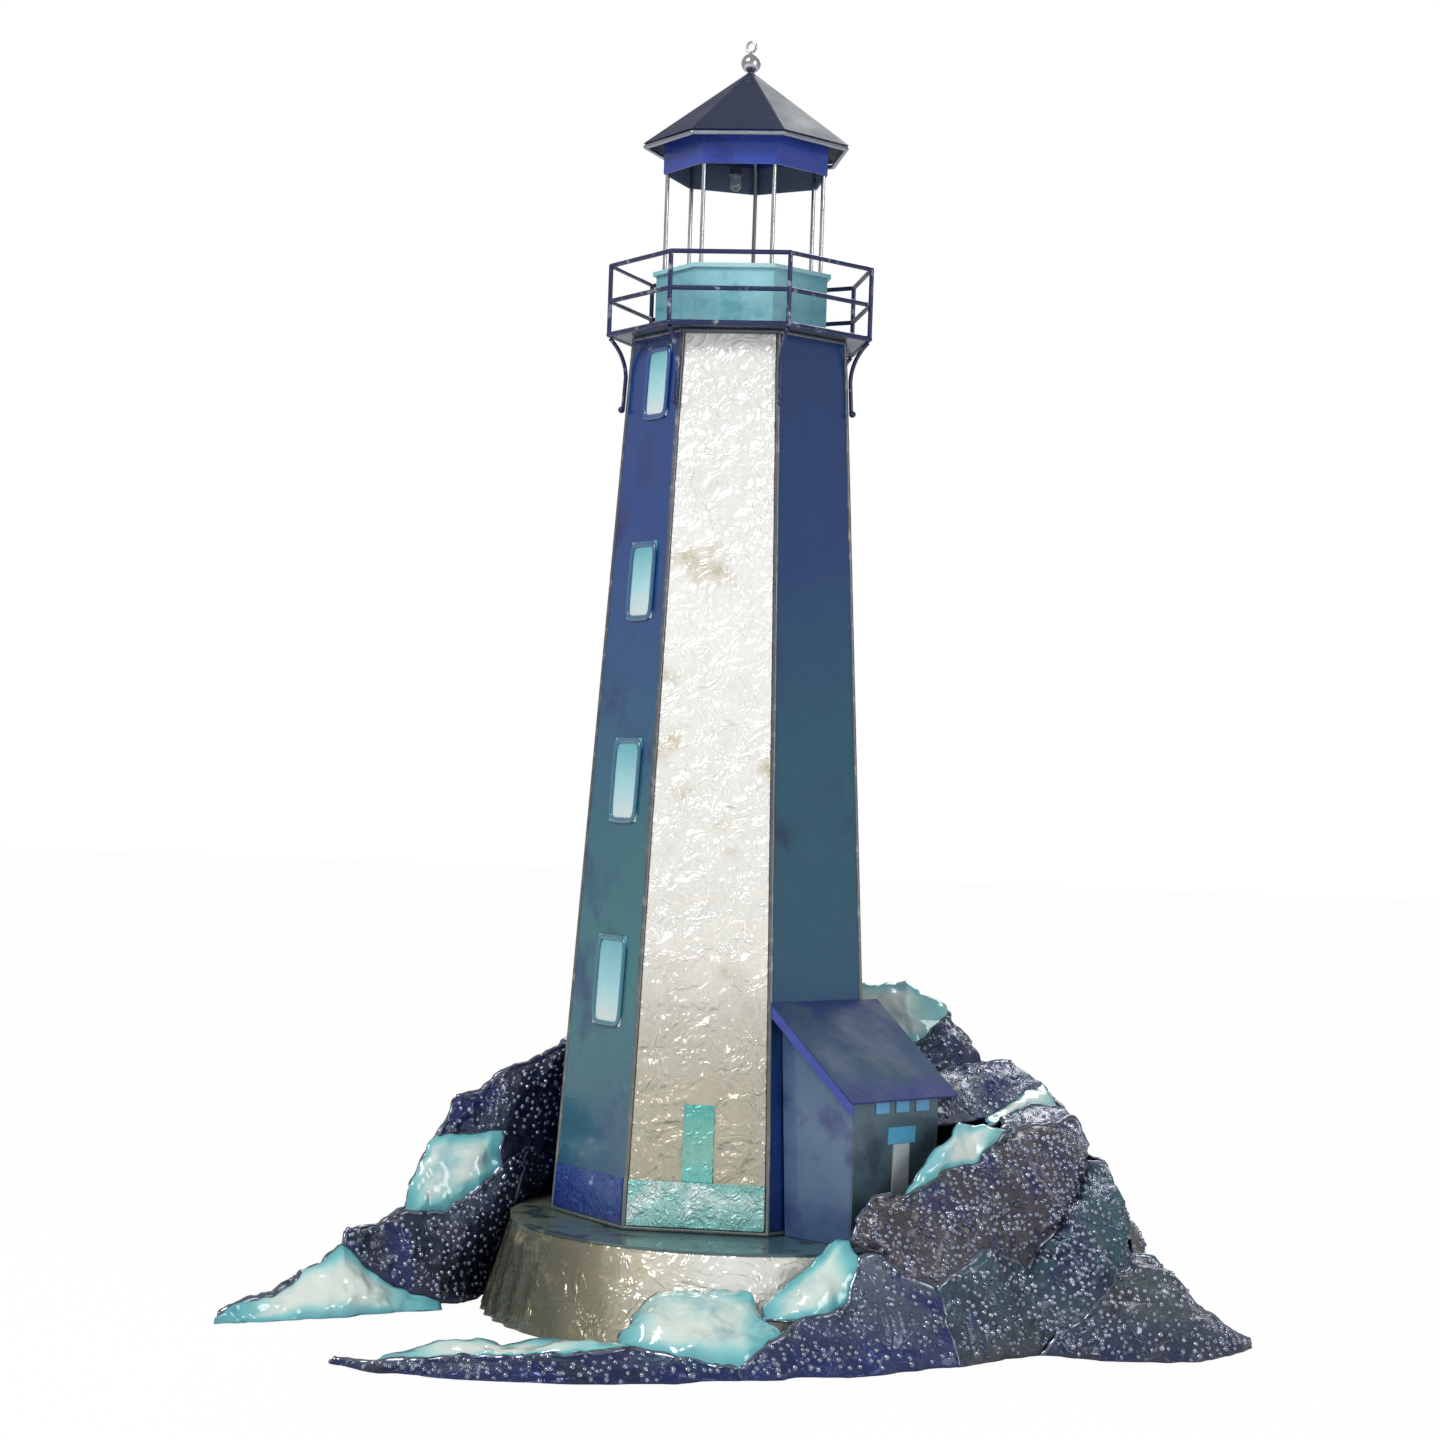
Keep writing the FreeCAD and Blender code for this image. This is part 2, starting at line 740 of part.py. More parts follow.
# ---------------------------------------------------------------- finial and beacon
def finial():
    """Ball on the roof's tip, its stud through the roof, and the wire loop on top."""
    fit = size("stud_radius") + size("stud_fit")
    ball_level = APEX - fit * ROOF_SLOPE + math.sqrt(size("ball_radius") ** 2 - fit**2) + GAP / 2
    ball = Part.makeSphere(size("ball_radius"), Vector(0, 0, ball_level))
    bore_low = APEX - size("stud_drop") / 2
    bore = Part.makeCylinder(fit, ball_level - bore_low, Vector(0, 0, bore_low))
    solid_piece("finial_ball", ball.cut(bore))
    stud_low = APEX - size("stud_drop")
    stud = Part.makeCylinder(
        size("stud_radius"), ball_level - stud_low - GAP, Vector(0, 0, stud_low)
    )
    solid_piece("finial_stud", stud)
    reach = size("ball_radius") + size("loop_radius") + size("loop_wire_radius") + 0.05
    loop = Part.makeTorus(
        size("loop_radius"),
        size("loop_wire_radius"),
        Vector(0, 0, ball_level + reach),
        Vector(0.45, 1, 0),
    )
    solid_piece("finial_loop", loop)


LAMP_TOP = APEX - size("stud_drop") - GAP
LAMP_FOOT = DECK_TOP + size("fascia_level") - 5.5


def lamp():
    """Beacon lamp on a bent stem under the roof: stem with holder, and the bulb."""
    holder_top = LAMP_FOOT + size("lamp_bulb_length") + size("lamp_holder_length")
    hang = Vector(-size("lamp_shift"), 0, holder_top)
    stem = rod(Vector(0, 0, LAMP_TOP), hang - Vector(0, 0, 1), size("lamp_stem_radius"))
    collar = Part.makeCylinder(size("stud_radius") + 0.6, 3, Vector(0, 0, LAMP_TOP - 3))
    holder = Part.makeCone(
        size("lamp_holder_radius") * 0.7,
        size("lamp_holder_radius"),
        size("lamp_holder_length"),
        hang,
        Vector(0, 0, -1),
    )
    solid_piece("lamp_holder", fused([stem, collar, holder]))
    bulb_top = hang.z - size("lamp_holder_length")
    radius = size("lamp_bulb_radius")
    bulb = Part.makeCylinder(
        radius, size("lamp_bulb_length") - radius, Vector(hang.x, 0, bulb_top), Vector(0, 0, -1)
    ).fuse(
        Part.makeSphere(radius, Vector(hang.x, 0, bulb_top - size("lamp_bulb_length") + radius))
    )
    solid_piece("lamp_bulb", bulb.removeSplitter())


def lead():
    """Thin lead from the battery case up inside the tower and the rear post to the lamp."""
    radius = size("lead_radius")
    foot = CASE_LEVEL + size("battery_height") - size("battery_wall") + 0.2
    bend = 9.0
    level = LAMP_FOOT + size("lamp_bulb_length") + size("lamp_holder_length") / 2
    top = level + bend
    end_back = size("lamp_holder_radius") + GAP
    straight = Part.LineSegment(Vector(0, LEAD_BACK, foot), Vector(0, LEAD_BACK, top - bend))
    centre = Vector(0, LEAD_BACK - bend, top - bend)
    middle = centre + Vector(0, bend * math.cos(math.pi / 4), bend * math.sin(math.pi / 4))
    over = Vector(0, LEAD_BACK - bend, top)
    arc = Part.Arc(Vector(0, LEAD_BACK, top - bend), middle, over)
    across = Part.LineSegment(over, Vector(0, end_back, top))
    path = Part.Wire([straight.toShape(), arc.toShape(), across.toShape()])
    start = Part.Wire(Part.Circle(Vector(0, LEAD_BACK, foot), UP, radius).toShape())
    solid_piece("lamp_lead", path.makePipeShell([start], True, False))


# ---------------------------------------------------------------- shed
SHED_PLACE = Placement(Vector(), Rotation(UP, STEP))
SHED_LEFT = -side_length(size("tower_foot_radius")) / 2 + size("shed_start")
SHED_RIGHT = SHED_LEFT + size("shed_width")
SHED_FRONT = apothem(size("tower_foot_radius")) + size("shed_depth")
SHED_SHEET = size("shed_sheet")


def tower_face_out(level):
    """Distance of the tower panel's outer face from the axis at a height."""
    return apothem(tower_radius(level)) + size("panel_sheet") / 2 * SLANT_FACTOR


def shed_roof_level(out):
    """Height of the shed roof's underside at a distance from the axis."""
    top = TOWER_FOOT + size("shed_roof_top")
    foot = TOWER_FOOT + size("shed_roof_foot")
    start = tower_face_out(top)
    return top + (foot - top) * (out - start) / (SHED_FRONT - start)


def shed_side(label, across):
    """Side wall: its back edge follows the leaning tower, its top the roof's slope."""
    body = new_body(label)
    sketch = new_sketch(body, f"{label}_outline", "YZ_Plane")
    foot = TOWER_FOOT + GAP
    seat = WIRE + GAP
    back_top = TOWER_FOOT + size("shed_roof_top") - 2
    add_polygon(
        sketch,
        [
            (-tower_face_out(foot) - seat, foot),
            (-SHED_FRONT + SHED_SHEET + GAP, foot),
            (-SHED_FRONT + SHED_SHEET + GAP, shed_roof_level(SHED_FRONT) - GAP),
            (-tower_face_out(back_top) - GAP, shed_roof_level(tower_face_out(back_top)) - GAP),
        ],
    )
    pad(body, sketch, "<shed_sheet>")
    body.Placement = SHED_PLACE * Placement(Vector(across, 0, 0), Rotation())


def shed_box(label, across, width, low, height, out, thickness):
    """Upright plate of the shed, from its left edge, foot, height and outer face."""
    box = doc.addObject("Part::Box", label)
    box.Length = width
    box.Width = thickness
    box.Height = height
    box.Placement = SHED_PLACE * Placement(Vector(across, -out, low), Rotation())
    return box


def shed_roof_shape(left, width, lift, thickness, overhang):
    """Sloping plate that lies on the walls, lifted square to the slope."""
    back = apothem(tower_radius(TOWER_FOOT + size("shed_roof_top"))) + WIRE + 2 * GAP
    front = SHED_FRONT + overhang
    outline = [
        Vector(left, -back, shed_roof_level(back) + lift),
        Vector(left, -front, shed_roof_level(front) + lift),
        Vector(left, -front, shed_roof_level(front) + lift + thickness),
        Vector(left, -back, shed_roof_level(back) + lift + thickness),
    ]
    return Part.Face(Part.makePolygon(outline + outline[:1])).extrude(Vector(width, 0, 0))


def shed():
    """Lean-to on the right face: three walls, roof with its trim, door, lintel, windows."""
    foot = TOWER_FOOT + GAP
    shed_side("shed_wall_left", SHED_LEFT)
    shed_side("shed_wall_right", SHED_RIGHT - SHED_SHEET)
    front_height = size("shed_roof_foot") - 2 * GAP
    front = shed_box(
        "shed_wall_front", SHED_LEFT, size("shed_width"), foot, front_height, SHED_FRONT, SHED_SHEET
    )
    keep(front, "shed_wall_front")

    verge = size("shed_verge")
    width = size("shed_width") + 2 * verge
    roof = shed_roof_shape(SHED_LEFT - verge, width, 0, SHED_SHEET, size("shed_eave"))
    solid_piece("shed_roof", roof, SHED_PLACE)
    trim_height = size("shed_trim_height")
    trim = shed_roof_shape(
        SHED_LEFT - verge, SHED_SHEET, -trim_height - GAP, trim_height, size("shed_eave")
    )
    face = face_place(0, TOWER_FOOT)
    span = 2 * (SHED_FRONT + size("shed_eave"))
    low_corner = Vector(-span, -span, size("panel_sheet") / 2 - span)
    keep_clear = Part.makeBox(2 * span, 3 * span, span, low_corner)
    keep_clear.Placement = face * Placement(Vector(0, 0, WIRE), Rotation())
    solid_piece("shed_trim", trim.cut(keep_clear), SHED_PLACE)

    step_out = SHED_FRONT + size("overlay_sheet")
    middle = (SHED_LEFT + SHED_RIGHT) / 2 + 3.0
    door_width = size("shed_door_width")
    door = shed_box(
        "shed_door",
        middle - door_width / 2,
        door_width,
        foot,
        size("shed_door_height"),
        step_out,
        size("overlay_sheet"),
    )
    keep(door, "shed_door")
    lintel = shed_box(
        "shed_lintel",
        middle - size("shed_lintel_width") / 2,
        size("shed_lintel_width"),
        foot + size("shed_door_height") + GAP,
        size("shed_lintel_height"),
        step_out,
        size("overlay_sheet"),
    )
    keep(lintel, "shed_lintel")
    pane = size("shed_window_size")
    panes = []
    for index in (-1, 0, 1):
        across = middle + index * size("shed_window_pitch") - pane / 2
        low = foot + front_height - pane - 1.0
        panes.append(
            Part.makeBox(pane, size("overlay_sheet"), pane, Vector(across, -step_out, low))
        )
    solid_piece("shed_windows", Part.makeCompound(panes), SHED_PLACE)


# ---------------------------------------------------------------- rocks
# Each rock is a thin pressed sheet that stands on its lower edge or on its neighbour.
# A station is a pair of points, lower and upper, on the sheet's outer side; neighbours
# share their stations' points, so their edges meet face to face.  The points are in the
# rocks' own frame, seen square from the front, which is turned a little from the tower's.
ROCK_PLACE = Placement(Vector(), Rotation(UP, size("rock_turn")))

FRONT_ROCKS = {
    "glass_left_low": [
        [(-204, -84, 0), (-203, -83, 3)],
        [(-174, -69, 0), (-177, -55, 16)],
        [(-153, -58, 0), (-156, -42, 27)],
        [(-135, -45, 0), (-136, -32, 10)],
        [(-115, -32, 0), (-116, -30, 3)],
    ],
    "rock_left_low": [
        [(-156, -42, 27), (-154, -38, 32)],
        [(-136, -32, 10), (-135, -15, 41)],
        [(-116, -30, 3), (-115, -8, 39)],
        [(-105, -12, 0), (-94, 5, 58)],
        [(-101, 20, 0), (-82, 20, 66)],
    ],
    "glass_left_high": [
        [(-135, -15, 41), (-134, -14, 46)],
        [(-115, -8, 39), (-122, 0, 72)],
        [(-94, 5, 58), (-94, 10, 72)],
    ],
    "rock_left_high": [
        [(-122, 0, 72), (-116, 10, 86)],
        [(-94, 10, 72), (-92, 20, 99)],
        [(-82, 20, 66), (-72, 35, 110)],
        [(-72, 42, 60), (-54, 60, 116)],
    ],
    "glass_back": [
        [(40, 66, 112), (38, 72, 138)],
        [(68, 36, 112), (72, 52, 140)],
        [(89, 30, 117), (85, 50, 142)],
        [(103, 38, 127), (102, 45, 133)],
    ],
    "rock_back_high": [
        [(66, 22, 92), (68, 36, 112)],
        [(78, 14, 100), (89, 30, 117)],
        [(101, 12, 107), (103, 38, 127)],
        [(120, 25, 111), (116, 32, 118)],
    ],
    "rock_back_low": [
        [(76, -2, 78), (66, 22, 92)],
        [(90, -30, 84), (78, 14, 100)],
        [(116, -25, 89), (101, 12, 107)],
        [(130, -10, 96), (120, 25, 111)],
        [(144, 16, 103), (131, 22, 110)],
    ],
    "glass_back_strip": [
        [(118, -35, 87), (116, -25, 89)],
        [(132, -20, 93), (130, -10, 96)],
        [(148, 0, 94), (144, 16, 103)],
    ],
    "rock_right_big": [
        [(54, -112, 47), (58, -110, 54)],
        [(66, -116, 40), (66, -102, 65)],
        [(76, -118, 34), (79, -92, 64)],
        [(89, -112, 30), (94, -82, 72)],
        [(111, -98, 44), (118, -58, 80)],
        [(132, -75, 35), (142, -28, 90)],
        [(150, -50, 54), (157, -12, 88)],
        [(163, -20, 71), (165, -12, 76)],
    ],
    "glass_right": [
        [(79, -92, 64), (81, -90, 67)],
        [(94, -82, 72), (101, -68, 93)],
        [(118, -58, 80), (122, -54, 86)],
    ],
    "rock_right_outer": [
        [(101, -122, 0), (89, -112, 30)],
        [(119, -100, 0), (111, -98, 44)],
        [(136, -93, 0), (132, -75, 35)],
        [(148, -88, 11), (150, -50, 54)],
        [(161, -80, 21), (163, -20, 71)],
        [(180, -52, 35), (172, -22, 72)],
    ],
    "rock_right_tip": [
        [(136, -93, 0), (148, -88, 11)],
        [(160, -97, 0), (161, -80, 21)],
        [(185, -96, 0), (180, -52, 35)],
        [(202, -92, 0), (187, -54, 36)],
        [(216, -79, 0), (206, -57, 18)],
        [(229, -57, 0), (228, -56, 2)],
    ],
    "rock_front": [
        [(13, -164, 0), (12, -162, 4)],
        [(28, -160, 0), (28, -150, 12)],
        [(42, -153, 0), (36, -138, 20)],
        [(58, -147, 0), (55, -126, 26)],
        [(66, -143, 0), (59, -118, 40)],
        [(76, -137, 0), (66, -116, 40)],
        [(88, -130, 0), (76, -118, 34)],
        [(101, -122, 0), (89, -112, 30)],
    ],
    "glass_front_right": [
        [(23, -131, 17), (23, -125, 24)],
        [(36, -138, 20), (36, -120, 36)],
        [(55, -126, 26), (48, -113, 48)],
        [(59, -118, 40), (54, -112, 47)],
    ],
    "glass_front": [
        [(-34, -145, 10), (-32, -126, 15)],
        [(-30, -157, 9), (-20, -120, 26)],
        [(-4, -160, 7), (2, -117.7, 27)],
        [(12, -162, 4), (16, -120, 25)],
        [(28, -150, 12), (23, -131, 17)],
    ],
    "glass_front_strip": [
        [(-127, -160, 3), (-124, -155, 5)],
        [(-96, -163, 5), (-105, -150, 8)],
        [(-57, -163, 7), (-58, -148, 11)],
        [(-30, -157, 9), (-34, -145, 10)],
    ],
    "rock_front_strip": [
        [(-147, -155, 0), (-146, -154, 2)],
        [(-127, -170, 0), (-127, -160, 3)],
        [(-96, -179, 0), (-96, -163, 5)],
        [(-57, -181, 0), (-57, -163, 7)],
        [(-33, -178, 0), (-30, -157, 9)],
        [(-6, -171, 0), (-4, -160, 7)],
        [(13, -164, 0), (12, -162, 4)],
    ],
}

REAR_ROCKS = {
    "rock_rear_left": [
        [(-203, -79, 0), (-203, -79, 4)],
        [(-168, 5, 0), (-156, -38, 29)],
        [(-150, 35, 0), (-135, -11, 45)],
        [(-125, 70, 0), (-116, 14, 86)],
        [(-95, 95, 0), (-92, 24, 99)],
        [(-62, 108, 0), (-72, 39, 110)],
    ],
    "rock_rear_middle": [
        [(-62, 108, 0), (-72, 39, 110)],
        [(-25, 116, 0), (-54, 64, 116)],
        [(10, 118, 0), (-6, 76, 122)],
        [(45, 114, 0), (38, 76, 138)],
    ],
    "rock_rear_right": [
        [(45, 114, 0), (38, 76, 138)],
        [(80, 100, 0), (72, 56, 140)],
        [(110, 85, 0), (102, 49, 133)],
        [(118, 80, 0), (104, 42.2, 127)],
        [(135, 68, 0), (120, 36, 112)],
        [(160, 45, 0), (144, 20, 103)],
        [(178, 20, 0), (157, -8, 88)],
        [(185, 8, 0), (165.5, -7.8, 77)],
        [(192, -5, 0), (172, -18, 72)],
        [(205, -25, 0), (181, -47.8, 36)],
        [(216, -40, 0), (206, -53, 18)],
        [(229, -52, 0), (229, -52, 3)],
    ],
}


# Small further sheets of a rock that close the spaces between it and the sheets above.
ROCK_FILLERS = {
    "rock_back_low": [
        [
            [(118, -58, 80), (122, -54, 86)],
            [(130, -43, 85), (125, -27.5, 90)],
            [(142, -28, 90), (132, -20, 93)],
            [(157, -12, 88), (148, 0, 94)],
        ],
    ],
    "rock_left_low": [
        [
            [(-101, 20, 0), (-82, 20, 66)],
            [(-93, 53, 0), (-72, 42, 60)],
        ],
        [
            [(-94, 5, 58), (-94, 10, 72)],
            [(-83.2, 18.5, 65.2), (-83.2, 19, 66.6)],
        ],
    ],
}

# The points were measured round a plinth of these radii at its foot and its top.
MEASURED_FOOT_RADIUS = 112.0
MEASURED_TOP_RADIUS = 100.0


def beside_plinth(point):
    """A measured point, moved away from the plinth by as much as its wall has moved."""
    place = ROCK_PLACE.inverse() * PLINTH_PLACE
    away = Vector(point[0] - place.Base.x, point[1] - place.Base.y, 0).normalize()
    share = min(point[2] / size("plinth_height"), 1.0)
    foot_move = size("plinth_foot_radius") - MEASURED_FOOT_RADIUS
    top_move = size("plinth_top_radius") - MEASURED_TOP_RADIUS
    return Vector(*point) + away * (foot_move + (top_move - foot_move) * share)


def rock_inner(point, backward):
    """Point on the sheet's inner side: straight back at the ground, back and down above."""
    drop = 0.0 if point.z == 0 else min(size("rock_drop_share"), point.z / 3)
    return point + Vector(0, backward, -drop) * size("rock_sheet")


def rock_section(low, high, backward):
    """Four edges of the sheet at one station: outer arc, inner arc, upper and lower edge."""
    low = beside_plinth(low)
    high = beside_plinth(high)
    inner_low = rock_inner(low, backward)
    inner_high = rock_inner(high, backward)
    bulge = Vector(0, -backward, 0.5) * ((high - low).Length * size("rock_bulge_share"))
    return [
        Part.Arc(low, (low + high) * 0.5 + bulge, high).toShape(),
        Part.Arc(inner_low, (inner_low + inner_high) * 0.5 + bulge, inner_high).toShape(),
        Part.LineSegment(high, inner_high).toShape(),
        Part.LineSegment(low, inner_low).toShape(),
    ]


def rock_sheet(stations, backward):
    """Closed skin of ruled faces through the sheet's stations."""
    sections = [rock_section(low, high, backward) for low, high in stations]
    faces = []
    for near, far in zip(sections, sections[1:]):
        for near_edge, far_edge in zip(near, far):
            faces.append(Part.makeRuledSurface(near_edge, far_edge))
    for end in (sections[0], sections[-1]):
        faces.append(Part.makeRuledSurface(end[0], end[1]))
    shell = Part.Shell(faces)
    shell.sewShape()
    solid = Part.Solid(shell)
    if solid.Volume < 0:
        solid.reverse()
    return solid


def rocks():
    """All rock sheets, front group and rear group."""
    for backward, group in ((1, FRONT_ROCKS), (-1, REAR_ROCKS)):
        for label, stations in group.items():
            sheets = [stations] + ROCK_FILLERS.get(label, [])
            shape = Part.makeCompound([rock_sheet(sheet, backward) for sheet in sheets])
            solid_piece(label, shape, ROCK_PLACE)


# ---------------------------------------------------------------- assembly
plinth_wall()
plinth_top()
base_plate()
battery_case()
battery_hatch()
battery_cells()
switch_pieces()
tower()
gallery()
lantern()
finial()
lamp()
lead()
shed()
rocks()
doc.recompute()

for item in doc.Objects:
    if "Invalid" in item.State or "Error" in item.State:
        raise RuntimeError(f"{item.Label} failed: {item.State}")
for item in nodes:
    if item.Shape.isNull() or not item.Shape.isValid():
        raise RuntimeError(f"{item.Label} has no valid shape")
    if not item.Shape.Solids:
        raise RuntimeError(f"{item.Label} holds no solid")
for item in nodes:
    item.Shape.exportStep(f"parts/{item.Label}.step")
print(f"{len(nodes)} sub-parts written")
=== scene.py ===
import math

import bpy
import numpy as np
from mathutils import Matrix, Vector


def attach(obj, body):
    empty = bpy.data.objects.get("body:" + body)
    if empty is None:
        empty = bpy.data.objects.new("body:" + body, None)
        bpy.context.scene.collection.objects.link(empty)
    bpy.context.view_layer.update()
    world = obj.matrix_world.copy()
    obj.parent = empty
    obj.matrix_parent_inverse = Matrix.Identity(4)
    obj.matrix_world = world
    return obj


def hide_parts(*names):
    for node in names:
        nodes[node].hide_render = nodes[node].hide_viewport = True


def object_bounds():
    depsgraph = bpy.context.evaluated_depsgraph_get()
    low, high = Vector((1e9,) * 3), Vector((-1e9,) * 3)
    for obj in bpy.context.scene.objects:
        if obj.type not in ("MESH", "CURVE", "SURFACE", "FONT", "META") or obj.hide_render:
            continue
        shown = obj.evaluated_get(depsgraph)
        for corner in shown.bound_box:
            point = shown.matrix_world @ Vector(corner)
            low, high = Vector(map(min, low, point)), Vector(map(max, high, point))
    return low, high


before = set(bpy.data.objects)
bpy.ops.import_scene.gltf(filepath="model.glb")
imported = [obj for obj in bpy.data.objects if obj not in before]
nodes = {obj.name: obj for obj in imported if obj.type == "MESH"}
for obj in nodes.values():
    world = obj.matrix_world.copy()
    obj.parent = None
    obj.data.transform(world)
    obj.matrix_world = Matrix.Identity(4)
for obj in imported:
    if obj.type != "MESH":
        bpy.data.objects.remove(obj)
cad_low, cad_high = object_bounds()
scene = bpy.context.scene

# ---------------------------------------------------------------- blue panels and shader groups
# The side and rear panels are flat shell sheets, coated with cloudy blue and teal gloss.
# They are cut to a taper and soldered between the corner wires.
# The shader groups here are shared by all the other sections.


def linear(red, green, blue):
    """Scene colour of an sRGB colour of 0 to 255: ((c/255 + 0.055) / 1.055) to the power 2.4."""
    return [((c / 255 + 0.055) / 1.055) ** 2.4 for c in (red, green, blue)] + [1.0]


def new_group(name, inputs, output):
    """Empty shader group with number inputs and one output; returns tree, input and output nodes."""
    tree = bpy.data.node_groups.new(name, "ShaderNodeTree")
    for label, value in inputs.items():
        kind = "NodeSocketVector" if isinstance(value, tuple) else "NodeSocketFloat"
        socket = tree.interface.new_socket(label, in_out="INPUT", socket_type=kind)
        socket.default_value = value
    kind = "NodeSocketVector" if output == "Normal" else "NodeSocketFloat"
    tree.interface.new_socket(output, in_out="OUTPUT", socket_type=kind)
    return tree, tree.nodes.new("NodeGroupInput"), tree.nodes.new("NodeGroupOutput")


def noise_node(tree, source, scale_socket, detail, rough):
    """Noise texture on the object's own coordinates, its scale from the group's input."""
    place = tree.nodes.new("ShaderNodeTexCoord")
    node = tree.nodes.new("ShaderNodeTexNoise")
    node.inputs["Detail"].default_value = detail
    node.inputs["Roughness"].default_value = rough
    tree.links.new(place.outputs["Object"], node.inputs["Vector"])
    tree.links.new(source.outputs[scale_socket], node.inputs["Scale"])
    return node


def clouds_group():
    """Mask of soft clouds: noise, spread so that Low gives 0 and High gives 1."""
    tree, source, sink = new_group("clouds", {"Scale": 20.0, "Low": 0.4, "High": 0.6}, "Mask")
    noise = noise_node(tree, source, "Scale", 6.0, 0.6)
    spread = tree.nodes.new("ShaderNodeMapRange")
    spread.interpolation_type = "SMOOTHSTEP"
    tree.links.new(noise.outputs["Fac"], spread.inputs["Value"])
    tree.links.new(source.outputs["Low"], spread.inputs["From Min"])
    tree.links.new(source.outputs["High"], spread.inputs["From Max"])
    tree.links.new(spread.outputs["Result"], sink.inputs["Mask"])
    return tree


def drift_group():
    """Place along an axis, 0 at Start and 1 at End, pushed about by slow noise."""
    inputs = {"Axis": (0.0, 0.0, 1.0), "Start": 0.0, "End": 1.0, "Wobble": 0.1, "Scale": 12.0}
    tree, source, sink = new_group("drift", inputs, "Along")
    noise = noise_node(tree, source, "Scale", 3.0, 0.5)
    place = tree.nodes.new("ShaderNodeTexCoord")
    dot = tree.nodes.new("ShaderNodeVectorMath")
    dot.operation = "DOT_PRODUCT"
    spread = tree.nodes.new("ShaderNodeMapRange")
    shift = tree.nodes.new("ShaderNodeMath")
    shift.operation = "SUBTRACT"
    shift.inputs[1].default_value = 0.5
    total = tree.nodes.new("ShaderNodeMath")
    total.operation = "MULTIPLY_ADD"
    tree.links.new(place.outputs["Object"], dot.inputs[0])
    tree.links.new(source.outputs["Axis"], dot.inputs[1])
    tree.links.new(dot.outputs["Value"], spread.inputs["Value"])
    tree.links.new(source.outputs["Start"], spread.inputs["From Min"])
    tree.links.new(source.outputs["End"], spread.inputs["From Max"])
    tree.links.new(noise.outputs["Fac"], shift.inputs[0])
    tree.links.new(shift.outputs[0], total.inputs[0])
    tree.links.new(source.outputs["Wobble"], total.inputs[1])
    tree.links.new(spread.outputs["Result"], total.inputs[2])
    tree.links.new(total.outputs[0], sink.inputs["Along"])
    return tree


def grain_group():
    """Normal of a fine uneven surface, from noise through a bump of Depth metres."""
    tree, source, sink = new_group("grain", {"Scale": 300.0, "Depth": 0.0003}, "Normal")
    noise = noise_node(tree, source, "Scale", 4.0, 0.55)
    bump = tree.nodes.new("ShaderNodeBump")
    tree.links.new(noise.outputs["Fac"], bump.inputs["Height"])
    tree.links.new(source.outputs["Depth"], bump.inputs["Distance"])
    tree.links.new(bump.outputs["Normal"], sink.inputs["Normal"])
    return tree


def crease_group():
    """Normal of a crumpled surface: noise, folded about its middle, through a bump."""
    tree, source, sink = new_group("crease", {"Scale": 150.0, "Depth": 0.0006}, "Normal")
    noise = noise_node(tree, source, "Scale", 3.0, 0.6)
    noise.inputs["Distortion"].default_value = 0.8
    middle = tree.nodes.new("ShaderNodeMath")
    middle.operation = "SUBTRACT"
    middle.inputs[1].default_value = 0.5
    fold = tree.nodes.new("ShaderNodeMath")
    fold.operation = "ABSOLUTE"
    root = tree.nodes.new("ShaderNodeMath")
    root.operation = "POWER"
    root.inputs[1].default_value = 0.7
    bump = tree.nodes.new("ShaderNodeBump")
    bump.invert = True
    tree.links.new(noise.outputs["Fac"], middle.inputs[0])
    tree.links.new(middle.outputs[0], fold.inputs[0])
    tree.links.new(fold.outputs[0], root.inputs[0])
    tree.links.new(root.outputs[0], bump.inputs["Height"])
    tree.links.new(source.outputs["Depth"], bump.inputs["Distance"])
    tree.links.new(bump.outputs["Normal"], sink.inputs["Normal"])
    return tree


CLOUDS = clouds_group()
DRIFT = drift_group()
GRAIN = grain_group()
CREASE = crease_group()


def use_group(tree, group, **values):
    """One use of a shader group, its inputs set to the named values."""
    node = tree.nodes.new("ShaderNodeGroup")
    node.node_tree = group
    for label, value in values.items():
        node.inputs[label].default_value = value
    return node


